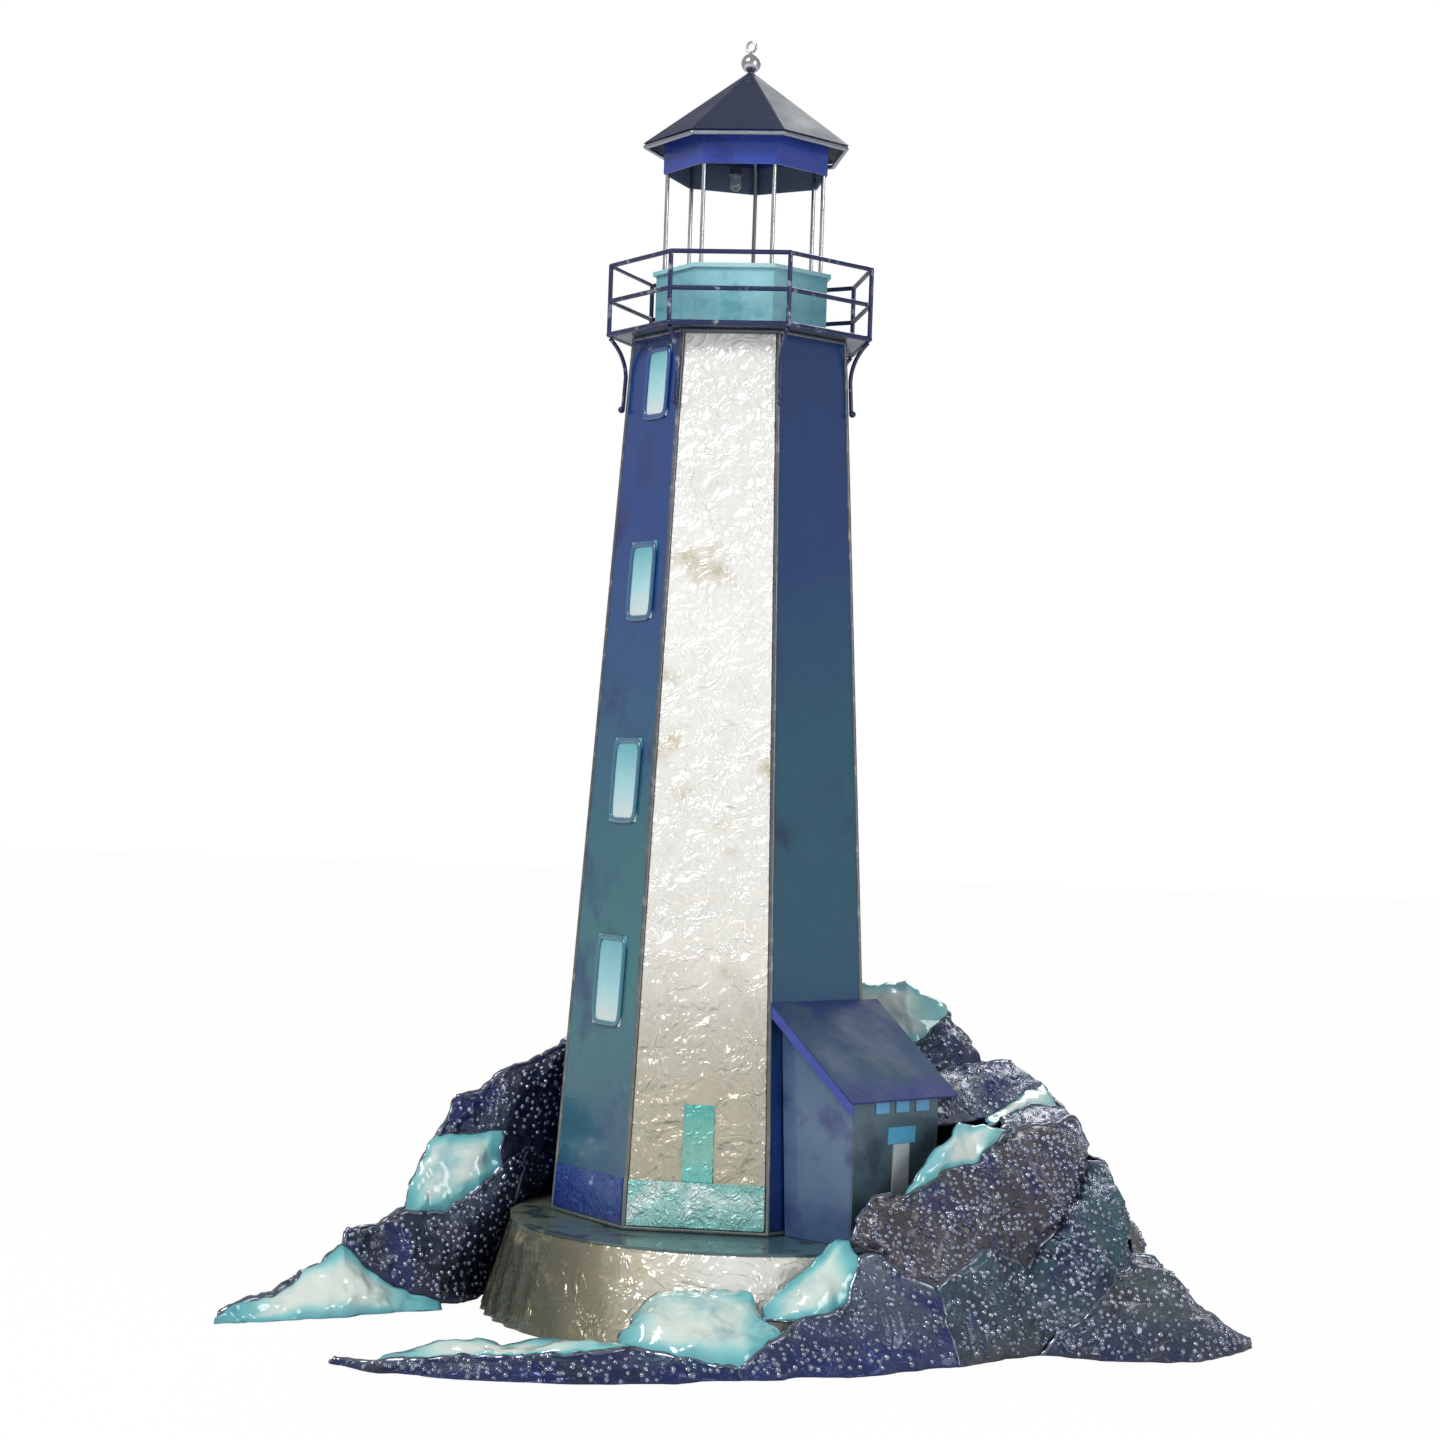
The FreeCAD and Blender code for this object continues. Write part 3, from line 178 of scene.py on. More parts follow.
def coat(
    name,
    stops,
    span=(0.0, 0.56),
    axis=(0, 0, 1),
    wobble=0.15,
    wobble_scale=14.0,
    blotch=None,
    blotch_scale=30.0,
    blotch_range=(0.5, 0.7),
    metallic=0.0,
    rough=(0.18, 0.34),
    rough_scale=60.0,
    grain=(250.0, 0.0002),
    crease=None,
    gloss=0.4,
    sheer=0.0,
    attribute=None,
):
    """Coated surface: colours along an axis, blotches over them, cloudy gloss and a fine grain."""
    material = bpy.data.materials.new(name)
    material.use_nodes = True
    tree = material.node_tree
    shader = tree.nodes["Principled BSDF"]
    along = use_group(
        tree, DRIFT, Axis=axis, Start=span[0], End=span[1], Wobble=wobble, Scale=wobble_scale
    )
    ramp = tree.nodes.new("ShaderNodeValToRGB")
    elements = ramp.color_ramp.elements
    while len(elements) < len(stops):
        elements.new(0.5)
    for element, (place, colour) in zip(elements, stops):
        element.position = place
        element.color = linear(*colour)
    share = along.outputs["Along"]
    if attribute:
        weight = tree.nodes.new("ShaderNodeAttribute")
        weight.attribute_name = attribute
        total = tree.nodes.new("ShaderNodeMath")
        total.operation = "ADD"
        tree.links.new(weight.outputs["Fac"], total.inputs[0])
        tree.links.new(share, total.inputs[1])
        share = total.outputs[0]
    tree.links.new(share, ramp.inputs["Fac"])
    tone = ramp.outputs["Color"]
    if blotch:
        low, high = blotch_range
        spots = use_group(tree, CLOUDS, Scale=blotch_scale, Low=low, High=high)
        mix = tree.nodes.new("ShaderNodeMix")
        mix.data_type = "RGBA"
        mix.inputs["B"].default_value = linear(*blotch)
        tree.links.new(spots.outputs["Mask"], mix.inputs["Factor"])
        tree.links.new(tone, mix.inputs["A"])
        tone = mix.outputs["Result"]
    tree.links.new(tone, shader.inputs["Base Color"])
    haze = use_group(tree, CLOUDS, Scale=rough_scale, Low=0.3, High=0.7)
    spread = tree.nodes.new("ShaderNodeMapRange")
    spread.inputs["To Min"].default_value = rough[0]
    spread.inputs["To Max"].default_value = rough[1]
    tree.links.new(haze.outputs["Mask"], spread.inputs["Value"])
    tree.links.new(spread.outputs["Result"], shader.inputs["Roughness"])
    scale, depth = crease or grain
    fine = use_group(tree, CREASE if crease else GRAIN, Scale=scale, Depth=depth)
    tree.links.new(fine.outputs["Normal"], shader.inputs["Normal"])
    shader.inputs["Metallic"].default_value = metallic
    shader.inputs["Coat Weight"].default_value = gloss
    shader.inputs["Coat Roughness"].default_value = 0.08
    shader.inputs["Transmission Weight"].default_value = sheer
    return material


def dress(material, *names):
    """Gives CAD nodes their material."""
    for name in names:
        slots = nodes[name].data.materials
        slots.clear()
        slots.append(material)


right_blue = coat(
    "right_blue",
    [
        (0.0, (14, 46, 112)),
        (0.17, (14, 46, 114)),
        (0.30, (34, 84, 108)),
        (0.55, (32, 82, 104)),
        (0.75, (18, 58, 110)),
        (1.0, (16, 52, 104)),
    ],
    span=(0.041, 0.424),
    blotch=(16, 28, 66),
    blotch_scale=26.0,
    blotch_range=(0.58, 0.8),
)
left_blue = coat(
    "left_blue",
    [
        (0.0, (28, 64, 104)),
        (0.12, (44, 92, 110)),
        (0.25, (54, 110, 116)),
        (0.45, (38, 94, 108)),
        (0.62, (24, 72, 116)),
        (0.8, (16, 56, 120)),
        (1.0, (14, 52, 114)),
    ],
    span=(0.041, 0.424),
    blotch=(18, 38, 96),
    blotch_scale=22.0,
    blotch_range=(0.52, 0.75),
)
dress(right_blue, "tower_panel_right", "tower_panels_rear")
dress(left_blue, "tower_panel_left")

# ---------------------------------------------------------------- pearl front panel
# One tapered sheet of pearly shell, pressed over a crinkled former so that its folds catch
# the light, and soldered between the two front corner wires.
MM = 0.001
LATTICE_SIDE = 32
LATTICE = np.random.default_rng(11).random((LATTICE_SIDE,) * 3)


def noise(points, cell, shift=0.0):
    """Smooth noise of 0 to 1: random values cell apart, blended by 3t squared less 2t cubed."""
    place = points / cell + shift
    base = np.floor(place).astype(int)
    part = place - base
    part = part * part * (3 - 2 * part)
    total = np.zeros(points.shape[:-1])
    for corner in np.ndindex(2, 2, 2):
        weight = np.ones(points.shape[:-1])
        for axis in range(3):
            weight = weight * (part[..., axis] if corner[axis] else 1 - part[..., axis])
        index = (base + np.array(corner)) % LATTICE_SIDE
        total += weight * LATTICE[index[..., 0], index[..., 1], index[..., 2]]
    return total


def folds(points, cell, shift=0.0):
    """Sharp folds of 0 to 1: one less the distance of noise from its middle, twice, bent by noise."""
    bent = points + (noise(points, cell * 1.7, shift + 9)[..., None] - 0.5) * cell
    return 1 - np.abs(2 * noise(bent, cell, shift) - 1)


def crumple(points, cell, shift=0.0):
    """Crumpled sheet of 0 to 1: folds of three sizes, each half as large and half as deep."""
    total = sum(folds(points, cell / 2**i, shift + 5 * i) / 2**i for i in range(3))
    return total / 1.75


def fading(rows, cols, share):
    """Weight of 0 at a grid's edges that rises to 1 over a share of its width and height."""
    up = np.linspace(0, 1, rows)[:, None]
    across = np.linspace(0, 1, cols)[None, :]
    near = np.minimum(np.minimum(up, 1 - up), np.minimum(across, 1 - across))
    t = np.clip(near / share, 0, 1)
    return t * t * (3 - 2 * t)


def add_piece(name, points, quads, material, slot, *replaced):
    """New piece from points in millimetres and four-sided faces, riding on the lighthouse."""
    mesh = bpy.data.meshes.new(name)
    mesh.vertices.add(len(points))
    mesh.vertices.foreach_set("co", (points * MM).astype(np.float32).ravel())
    mesh.loops.add(quads.size)
    mesh.loops.foreach_set("vertex_index", quads.astype(np.int32).ravel())
    mesh.polygons.add(len(quads))
    mesh.polygons.foreach_set("loop_start", np.arange(0, quads.size, 4, dtype=np.int32))
    mesh.polygons.foreach_set("use_smooth", np.ones(len(quads), bool))
    mesh.update(calc_edges=True)
    mesh.validate()
    mesh.materials.append(material)
    piece = bpy.data.objects.new(name, mesh)
    scene.collection.objects.link(piece)
    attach(piece, "lighthouse")
    if replaced:
        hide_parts(*replaced)
    return piece


def slab(front, back):
    """Closed sheet: the front grid, the back grid turned over, and the four rims between them."""
    rows, cols = front.shape[:2]
    count = rows * cols
    index = np.arange(count).reshape(rows, cols)
    face = np.stack([index[:-1, :-1], index[:-1, 1:], index[1:, 1:], index[1:, :-1]], -1)
    face = face.reshape(-1, 4)
    ring = np.concatenate([index[0], index[1:, -1], index[-1, -2::-1], index[-2:0:-1, 0]])
    after = np.roll(ring, -1)
    rim = np.stack([after, ring, ring + count, after + count], -1)
    points = np.concatenate([front.reshape(-1, 3), back.reshape(-1, 3)])
    return points, np.concatenate([face, face[:, ::-1] + count, rim])


FOOT_LEVEL, HEAD_LEVEL = 41.0, 424.0
FOOT_RADIUS, HEAD_RADIUS = 70.3, 47.3
HALF_STEP = math.pi / 7
PANEL_LOW, PANEL_HIGH = 43.2, 421.8
WIRE_INSET = 1.2


def tower_radius(level):
    """Corner radius of the tower at a height, straight from the foot radius to the head radius."""
    share = (level - FOOT_LEVEL) / (HEAD_LEVEL - FOOT_LEVEL)
    return FOOT_RADIUS + (HEAD_RADIUS - FOOT_RADIUS) * share


def front_grid(low, high, left, right, rows, cols, out):
    """Grid on the front face, a distance out from it: x is a share of the half width at a height."""
    level = np.linspace(low, high, rows)[:, None] + np.zeros((1, cols))
    share = np.linspace(left, right, cols)[None, :] + np.zeros((rows, 1))
    radius = tower_radius(level)
    x = share * (radius * math.sin(HALF_STEP) - WIRE_INSET)
    y = -(radius * math.cos(HALF_STEP) + out)
    return np.stack([x, y, level], -1)


PEARL_ROWS, PEARL_COLUMNS = 520, 84
PEARL_OUT, PEARL_IN = 0.4, -1.6
PEARL_DEPTH = 2.4
PEARL_PROUD = 0.25
CRINKLE, FINE_CRINKLE = 10.0, 4.2
CALM_LEVEL, CALM_REACH = 300.0, 55.0
pearl_front = front_grid(PANEL_LOW, PANEL_HIGH, -1, 1, PEARL_ROWS, PEARL_COLUMNS, PEARL_OUT)
pearl_back = front_grid(PANEL_LOW, PANEL_HIGH, -1, 1, PEARL_ROWS, PEARL_COLUMNS, PEARL_IN)
relief = crumple(pearl_front * (1, 1, 1.2), CRINKLE) - 0.9
relief = relief + 0.3 * crumple(pearl_front, FINE_CRINKLE, 40)
calm = 1 - 0.55 * np.exp(-(((pearl_front[..., 2] - CALM_LEVEL) / CALM_REACH) ** 2))
relief = relief * PEARL_DEPTH * calm * fading(PEARL_ROWS, PEARL_COLUMNS, 0.03)
pearl_front[..., 1] -= np.minimum(relief, PEARL_PROUD)
pearl = coat(
    "pearl",
    [
        (0.0, (176, 170, 150)),
        (0.12, (186, 180, 162)),
        (0.2, (200, 197, 186)),
        (0.27, (228, 226, 218)),
        (0.65, (238, 238, 233)),
        (1.0, (228, 228, 224)),
    ],
    span=(0.062, 0.424),
    wobble=0.08,
    wobble_scale=60.0,
    blotch=(190, 180, 150),
    blotch_scale=48.0,
    blotch_range=(0.56, 0.8),
    metallic=0.25,
    rough=(0.22, 0.36),
    crease=(76.0, 0.002),
    gloss=0.35,
)
add_piece("pearl_front", *slab(pearl_front, pearl_back), pearl, "pearl_panel", "tower_panel_front")

# ---------------------------------------------------------------- mint band and front door
# The crinkled mint band at the foot of the front panel and the teal door above it are
# overlays of the same shell sheet, soldered flat on the pearl panel.
mint = coat(
    "mint",
    [(0.0, (120, 186, 182)), (0.5, (158, 208, 202)), (1.0, (134, 196, 190))],
    span=(0.043, 0.063),
    wobble=0.8,
    wobble_scale=70.0,
    # The pale blotches over the mint are painted highlights, where light would catch its crinkles.
    blotch=(214, 230, 224),
    blotch_scale=60.0,
    blotch_range=(0.5, 0.7),
    metallic=0.25,
    crease=(170.0, 0.0022),
    gloss=0.6,
)
BAND_TOP = 62.2
BAND_OUT, OVERLAY_BACK = 1.2, 0.45
band_front = front_grid(PANEL_LOW, BAND_TOP, -1, 1, 44, 100, BAND_OUT)
band_back = front_grid(PANEL_LOW, BAND_TOP, -1, 1, 44, 100, OVERLAY_BACK)
band_front[..., 1] -= (crumple(band_front, 9.0, 3) - 0.8) * fading(44, 100, 0.06)
add_piece("mint_band", *slab(band_front, band_back), mint, "mint_panel", "tower_band_front")
door_teal = coat(
    "door_teal",
    [(0.0, (104, 192, 188)), (0.35, (128, 184, 166)), (0.7, (112, 180, 168)), (1.0, (84, 172, 164))],
    span=(0.062, 0.095),
    wobble=0.25,
    wobble_scale=50.0,
    metallic=0.2,
    crease=(120.0, 0.0014),
    gloss=0.6,
)
DOOR_LOW, DOOR_TOP = 62.3, 94.7
DOOR_SHARE = 0.23
DOOR_OUT = 1.1
door_front = front_grid(DOOR_LOW, DOOR_TOP, -DOOR_SHARE, DOOR_SHARE, 60, 26, DOOR_OUT)
door_back = front_grid(DOOR_LOW, DOOR_TOP, -DOOR_SHARE, DOOR_SHARE, 60, 26, OVERLAY_BACK)
door_front[..., 1] -= (crumple(door_front, 8.0, 17) - 0.8) * 0.6 * fading(60, 26, 0.08)
add_piece("front_door", *slab(door_front, door_back), door_teal, "mint_panel", "tower_door")

# ---------------------------------------------------------------- cobalt skirt, trim and fascia
# Plain sheets with a cobalt coat: the skirt at the left panel's foot is scratched through to
# pale shell, the fascia hangs under the eave and the trim edges the shed's roof.  A thin slate
# sheet lines the fascia.
cobalt = coat(
    "cobalt",
    [(0.0, (34, 56, 138)), (0.5, (46, 70, 160)), (1.0, (36, 58, 146))],
    span=(-0.04, 0.04),
    axis=(1, 0, 0),
    wobble=0.5,
    blotch=(30, 34, 112),
    blotch_scale=45.0,
)
skirt_blue = coat(
    "skirt_blue",
    [(0.0, (20, 46, 116)), (1.0, (28, 52, 132))],
    span=(0.041, 0.062),
    wobble=0.5,
    blotch=(150, 170, 210),
    blotch_scale=55.0,
    blotch_range=(0.64, 0.7),
    crease=(90.0, 0.0016),
    gloss=0.8,
)
lining_slate = coat(
    "lining_slate",
    [(0.0, (70, 84, 108)), (1.0, (92, 106, 128))],
    span=(-0.04, 0.04),
    axis=(1, 0, 0),
    wobble=0.8,
    rough=(0.4, 0.6),
    gloss=0.1,
)


def ring_of_sides(radius, levels):
    """Seven-sided upright ring: corner radius and heights, its first corner repeated to close it."""
    turn = (np.arange(8) + 0.5) * 2 * HALF_STEP
    x, y = radius * np.sin(turn), -radius * np.cos(turn)
    return np.stack([np.stack([x, y, np.full(8, level)], -1) for level in levels])


LINING_RADIUS, LINING_SHEET = 36.0, 0.2
LINING_LEVELS = (496.4, 508.0)
lining_out = ring_of_sides(LINING_RADIUS, LINING_LEVELS)
lining_in = ring_of_sides(LINING_RADIUS - LINING_SHEET, LINING_LEVELS)
lining = add_piece("fascia_lining", *slab(lining_out, lining_in), lining_slate, "cobalt_panel")
lining.data.polygons.foreach_set("use_smooth", np.zeros(len(lining.data.polygons), bool))
dress(cobalt, "fascia_band", "shed_trim")
dress(skirt_blue, "tower_skirt_left")

# ---------------------------------------------------------------- windows
# Four panes in the left panel and three small ones on the shed, with the lintel: sheets with
# an aqua coat that fades to white towards each pane's foot, set into raised rims.
WINDOW_COUNT = 4
WINDOW_PITCH = 86.0
WINDOW_LOWEST = 101.0
WINDOW_LIFT = 2.2
WINDOW_SHIFT = 4.0
WINDOW_WIDTHS = (21.0, 16.5)
WINDOW_HEIGHTS = (36.0, 28.5)


def pane_stops():
    """Aqua at each pane's head and near white at its foot, four panes one above the other."""
    stops = []
    for index in range(WINDOW_COUNT):
        middle = WINDOW_LOWEST + index * WINDOW_PITCH + WINDOW_LIFT
        half = 18 - index * 1.2
        low = (middle - half) / (HEAD_LEVEL - FOOT_LEVEL)
        high = (middle + half) / (HEAD_LEVEL - FOOT_LEVEL)
        stops += [(low, (206, 214, 214)), (low + (high - low) * 0.4, (160, 206, 212))]
        stops += [(high, (92, 166, 178))]
    return stops


window_aqua = coat(
    "window_aqua", pane_stops(), span=(0.041, 0.424), wobble=0.03, wobble_scale=40.0, gloss=0.7
)
shed_aqua = coat(
    "shed_aqua",
    [(0.0, (96, 176, 214)), (1.0, (60, 140, 190))],
    span=(0.08, 0.104),
    wobble=0.6,
    wobble_scale=90.0,
    gloss=0.6,
)
rim_teal = coat(
    "rim_teal",
    [(0.0, (70, 124, 136)), (0.5, (58, 108, 132)), (1.0, (34, 70, 132))],
    span=(0.04, 0.42),
    wobble=0.4,
    wobble_scale=90.0,
    gloss=0.7,
)
dress(window_aqua, "tower_windows")
dress(shed_aqua, "shed_windows", "shed_lintel")


def rounded_loop(width, height, count):
    """Rectangle with round corners: cosine and sine of the angle, to the power 0.28, signs kept."""
    angle = np.linspace(0, 2 * math.pi, count, endpoint=False)
    power = 0.28
    x = np.sign(np.cos(angle)) * np.abs(np.cos(angle)) ** power
    y = np.sign(np.sin(angle)) * np.abs(np.sin(angle)) ** power
    return np.stack([x * width / 2, y * height / 2], -1)


def closed_tube(path, side, out, radius_side, radius_out, sides=10):
    """Ring-shaped bead: ovals of cosine times side and sine times out, along a closed path."""
    count = len(path)
    turn = np.linspace(0, 2 * math.pi, sides, endpoint=False)
    points = (
        path[:, None, :]
        + np.cos(turn)[None, :, None] * radius_side * side[:, None, :]
        + np.sin(turn)[None, :, None] * radius_out * out
    )
    index = np.arange(count * sides).reshape(count, sides)
    right = np.roll(index, -1, 1)
    up = np.roll(index, -1, 0)
    quads = np.stack([index, up, np.roll(up, -1, 1), right], -1)
    return points.reshape(-1, 3), quads.reshape(-1, 4)


LEAN = math.atan((FOOT_RADIUS - HEAD_RADIUS) * math.cos(HALF_STEP) / (HEAD_LEVEL - FOOT_LEVEL))
LEFT_TURN = -2 * HALF_STEP
RIM_LIFT = 0.9
RIM_GAP = 1.0
RIM_WIDE, RIM_PROUD = 1.25, 0.9


def left_face_point(across, along):
    """Point on the left panel's outer face, across it and up its slope from its foot."""
    foot = FOOT_RADIUS * math.cos(HALF_STEP)
    reach = foot - along * math.sin(LEAN) + RIM_LIFT
    level = FOOT_LEVEL + along * math.cos(LEAN) + WINDOW_LIFT
    x = across * math.cos(LEFT_TURN) + reach * math.sin(LEFT_TURN)
    y = across * math.sin(LEFT_TURN) - reach * math.cos(LEFT_TURN)
    return np.stack([x, y, level], -1)


rim_points, rim_quads = [], []
left_out = np.array([math.sin(LEFT_TURN), -math.cos(LEFT_TURN), math.tan(LEAN)]) * math.cos(LEAN)
for window in range(WINDOW_COUNT):
    share = window / (WINDOW_COUNT - 1)
    width = WINDOW_WIDTHS[0] * (1 - share) + WINDOW_WIDTHS[1] * share + RIM_GAP
    height = WINDOW_HEIGHTS[0] * (1 - share) + WINDOW_HEIGHTS[1] * share + RIM_GAP
    loop = rounded_loop(width, height, 96)
    middle = WINDOW_LOWEST + window * WINDOW_PITCH
    path = left_face_point(loop[:, 0] + WINDOW_SHIFT, loop[:, 1] + middle)
    tangent = np.roll(path, -1, 0) - np.roll(path, 1, 0)
    side = np.cross(tangent, left_out)
    side /= np.linalg.norm(side, axis=1, keepdims=True)
    ring, quads = closed_tube(path, side, left_out, RIM_WIDE, RIM_PROUD)
    rim_quads.append(quads + sum(len(p) for p in rim_points))
    rim_points.append(ring)
add_piece(
    "window_rims", np.concatenate(rim_points), np.concatenate(rim_quads), rim_teal, "window_glass"
)

# ---------------------------------------------------------------- frame wires, railing, brackets
# Round wire, soldered at the joints and coated dark navy; the coat is worn to bright metal
# along the rods.  Posts, finial ball, loop and stud are left bright.
dark_wire = coat(
    "dark_wire",
    [(0.0, (30, 36, 70)), (0.5, (44, 52, 92)), (1.0, (34, 42, 84))],
    wobble=1.2,
    wobble_scale=40.0,
    blotch=(150, 154, 168),
    blotch_scale=170.0,
    blotch_range=(0.55, 0.68),
    metallic=0.5,
    rough=(0.25, 0.45),
    gloss=0.2,
)
frame_wire = coat(
    "frame_wire",
    [(0.0, (112, 118, 116)), (0.5, (92, 98, 104)), (1.0, (96, 100, 112))],
    span=(0.041, 0.424),
    wobble=1.0,
    wobble_scale=50.0,
    blotch=(156, 156, 148),
    blotch_scale=150.0,
    blotch_range=(0.5, 0.75),
    metallic=0.6,
    rough=(0.25, 0.45),
    gloss=0.2,
)
bright_wire = coat(
    "bright_wire",
    [(0.0, (150, 152, 158)), (1.0, (196, 198, 202))],
    wobble=1.5,
    wobble_scale=90.0,
    metallic=1.0,
    rough=(0.16, 0.34),
    gloss=0.0,
)
eave_silver = coat(
    "eave_silver",
    [(0.0, (120, 130, 140)), (1.0, (150, 158, 164))],
    wobble=1.2,
    wobble_scale=60.0,
    metallic=0.8,
    rough=(0.2, 0.34),
    gloss=0.3,
)
dress(frame_wire, "tower_frame")
dress(eave_silver, "eave_wire")
dress(dark_wire, "gallery_railing", "gallery_brackets")
dress(bright_wire, "lantern_posts", "finial_ball", "finial_loop", "finial_stud")

# ---------------------------------------------------------------- roofs and deck
# Slate-coloured sheets: the lantern's seven-sided roof with its apex under the ball, the
# gallery's deck, and the shed's roof with blue along its edges.
roof_navy = coat(
    "roof_navy",
    [(0.0, (16, 26, 60)), (0.49, (20, 32, 62)), (0.505, (74, 82, 90)), (1.0, (84, 90, 96))],
    span=(-0.04, 0.04),
    axis=(0.901, 0.434, 0),
    wobble=0.0,
    blotch=(14, 30, 54),
    blotch_scale=60.0,
    blotch_range=(0.6, 0.8),
    rough=(0.5, 0.7),
    gloss=0.08,
)
deck_slate = coat(
    "deck_slate",
    [(0.0, (66, 80, 96)), (1.0, (84, 96, 112))],
    span=(-0.06, 0.06),
    axis=(1, 0, 0),
    wobble=0.8,
    rough=(0.3, 0.5),
)
shed_slate = coat(
    "shed_slate",
    [(0.0, (14, 36, 104)), (0.22, (28, 62, 96)), (0.8, (24, 54, 90)), (1.0, (16, 38, 96))],
    span=(0.104, 0.139),
    wobble=0.4,
    wobble_scale=60.0,
    blotch=(40, 68, 90),
    blotch_scale=50.0,
    rough=(0.5, 0.7),
    gloss=0.05,
)
dress(roof_navy, "lantern_roof")
dress(deck_slate, "gallery_deck")
dress(shed_slate, "shed_roof")

# ---------------------------------------------------------------- parapet
# Low aqua wall round the lantern with a pale cap, bent from one strip and soldered on the deck.
aqua = coat(
    "aqua",
    [(0.0, (86, 150, 164)), (0.45, (140, 196, 208)), (0.6, (150, 205, 214)), (1.0, (84, 148, 164))],
    span=(-0.038, 0.038),
    axis=(1, 0, 0),
    wobble=0.12,
    wobble_scale=60.0,
    blotch=(96, 166, 180),
    blotch_scale=50.0,
    grain=(120.0, 0.0008),
    gloss=0.7,
)
aqua_cap = coat(
    "aqua_cap",
    [(0.0, (130, 190, 200)), (0.6, (176, 216, 220)), (1.0, (120, 176, 188))],
    span=(-0.04, 0.04),
    axis=(1, 0, 0),
    gloss=0.7,
)
dress(aqua, "parapet_wall")
dress(aqua_cap, "parapet_cap")

# ---------------------------------------------------------------- lamp and lead
# A small dark holder on a bent stem under the roof with a clear bulb, fed by a thin grey lead.
lamp_dark = coat(
    "lamp_dark", [(0.0, (30, 36, 48)), (1.0, (52, 58, 70))], wobble=0.8, rough=(0.3, 0.5), gloss=0.1
)
lead_grey = coat(
    "lead_grey",
    [(0.0, (110, 112, 118)), (1.0, (140, 142, 148))],
    wobble=0.8,
    rough=(0.4, 0.6),
    gloss=0.0,
)
bulb_glass = coat(
    "bulb_glass",
    [(0.0, (190, 200, 206)), (1.0, (220, 226, 230))],
    span=(0.49, 0.5),
    rough=(0.04, 0.1),
    sheer=0.8,
)
dress(lamp_dark, "lamp_holder")
dress(lead_grey, "lamp_lead")
dress(bulb_glass, "lamp_bulb")

# ---------------------------------------------------------------- shed walls and door
# Flat sheets with a cloudy slate-blue coat on the left, grey-green in front, and a pale door.
shed_left = coat(
    "shed_left",
    [(0.0, (56, 84, 122)), (0.5, (82, 108, 136)), (1.0, (58, 88, 120))],
    span=(0.041, 0.13),
    wobble=0.5,
    wobble_scale=36.0,
    blotch=(54, 66, 112),
    blotch_scale=50.0,
    rough=(0.3, 0.5),
)
shed_front = coat(
    "shed_front",
    [(0.0, (64, 86, 104)), (0.6, (76, 98, 106)), (1.0, (64, 96, 114))],
    span=(0.041, 0.104),
    wobble=0.5,
    blotch=(50, 68, 86),
    blotch_scale=50.0,
    rough=(0.3, 0.5),
)
door_white = coat(
    "door_white",
    [(0.0, (150, 168, 178)), (0.4, (206, 214, 214)), (1.0, (186, 202, 206))],
    span=(0.06, 0.083),
    wobble=0.3,
    gloss=0.6,
)
dress(shed_left, "shed_wall_left", "shed_wall_right")
dress(shed_front, "shed_wall_front")
dress(door_white, "shed_door")

# ---------------------------------------------------------------- plinth
# A flared wall of crinkled shell, pearly in front and thin olive-brown on the left flank,
# where it hangs in folds; a round grey-green sheet with dark cracks closes it on top.
PLINTH_X, PLINTH_Y = 13.3, -10.5
PLINTH_FOOT, PLINTH_HEAD = 112.0, 100.0
PLINTH_HEIGHT = 40.0


def plinth_wall_grid(inset, rows=36, cols=560):
    """Round wall: the radius goes straight from the foot's to the head's, less the inset."""
    level = np.linspace(0, PLINTH_HEIGHT, rows)[:, None] + np.zeros((1, cols))
    turn = np.linspace(-math.pi, math.pi, cols)[None, :] + np.zeros((rows, 1))
    radius = PLINTH_FOOT - (PLINTH_FOOT - PLINTH_HEAD) * level / PLINTH_HEIGHT - inset
    x = PLINTH_X + radius * np.sin(turn)
    y = PLINTH_Y - radius * np.cos(turn)
    return np.stack([x, y, level], -1), turn


wall_front, wall_turn = plinth_wall_grid(0.4)
wall_back, _ = plinth_wall_grid(1.9)
wall_seam = np.clip(np.minimum(wall_turn + math.pi, math.pi - wall_turn) / 0.1, 0, 1)
wall_rise = wall_front[..., 2] / PLINTH_HEIGHT
wall_fade = np.clip(wall_rise / 0.1, 0, 1) * np.clip((1 - wall_rise) / 0.12, 0, 1) * wall_seam
drape = np.clip((-wall_turn - 0.75) / 0.4, 0, 1) * np.clip((2.4 + wall_turn) / 0.3, 0, 1)
folds_down = np.sin(wall_turn * 46 + 3 * noise(wall_front, 30.0)) * (1 - wall_rise) * 1.6
wall_push = (crumple(wall_front, 15.0, 21) - 0.85) * 2.6 * (1 - drape) * wall_fade
wall_push = wall_push + folds_down * drape * wall_seam - 1.2 * drape * (1 - wall_rise)
wall_front[..., 0] += wall_push * np.sin(wall_turn)
wall_front[..., 1] -= wall_push * np.cos(wall_turn)
plinth_shell = coat(
    "plinth_shell",
    [
        (0.0, (58, 62, 50)),
        (0.22, (82, 82, 66)),
        (0.34, (134, 129, 106)),
        (0.46, (212, 206, 188)),
        (0.62, (234, 233, 226)),
        (1.0, (210, 212, 204)),
    ],
    span=(-0.099, 0.09),
    axis=(1, 0, 0),
    wobble=0.12,
    wobble_scale=40.0,
    blotch=(176, 160, 112),
    blotch_scale=40.0,
    blotch_range=(0.55, 0.75),
    metallic=0.25,
    rough=(0.18, 0.32),
    crease=(58.0, 0.0028),
    gloss=0.45,
)
add_piece("plinth_shell", *slab(wall_front, wall_back), plinth_shell, "pearl_panel", "plinth_wall")
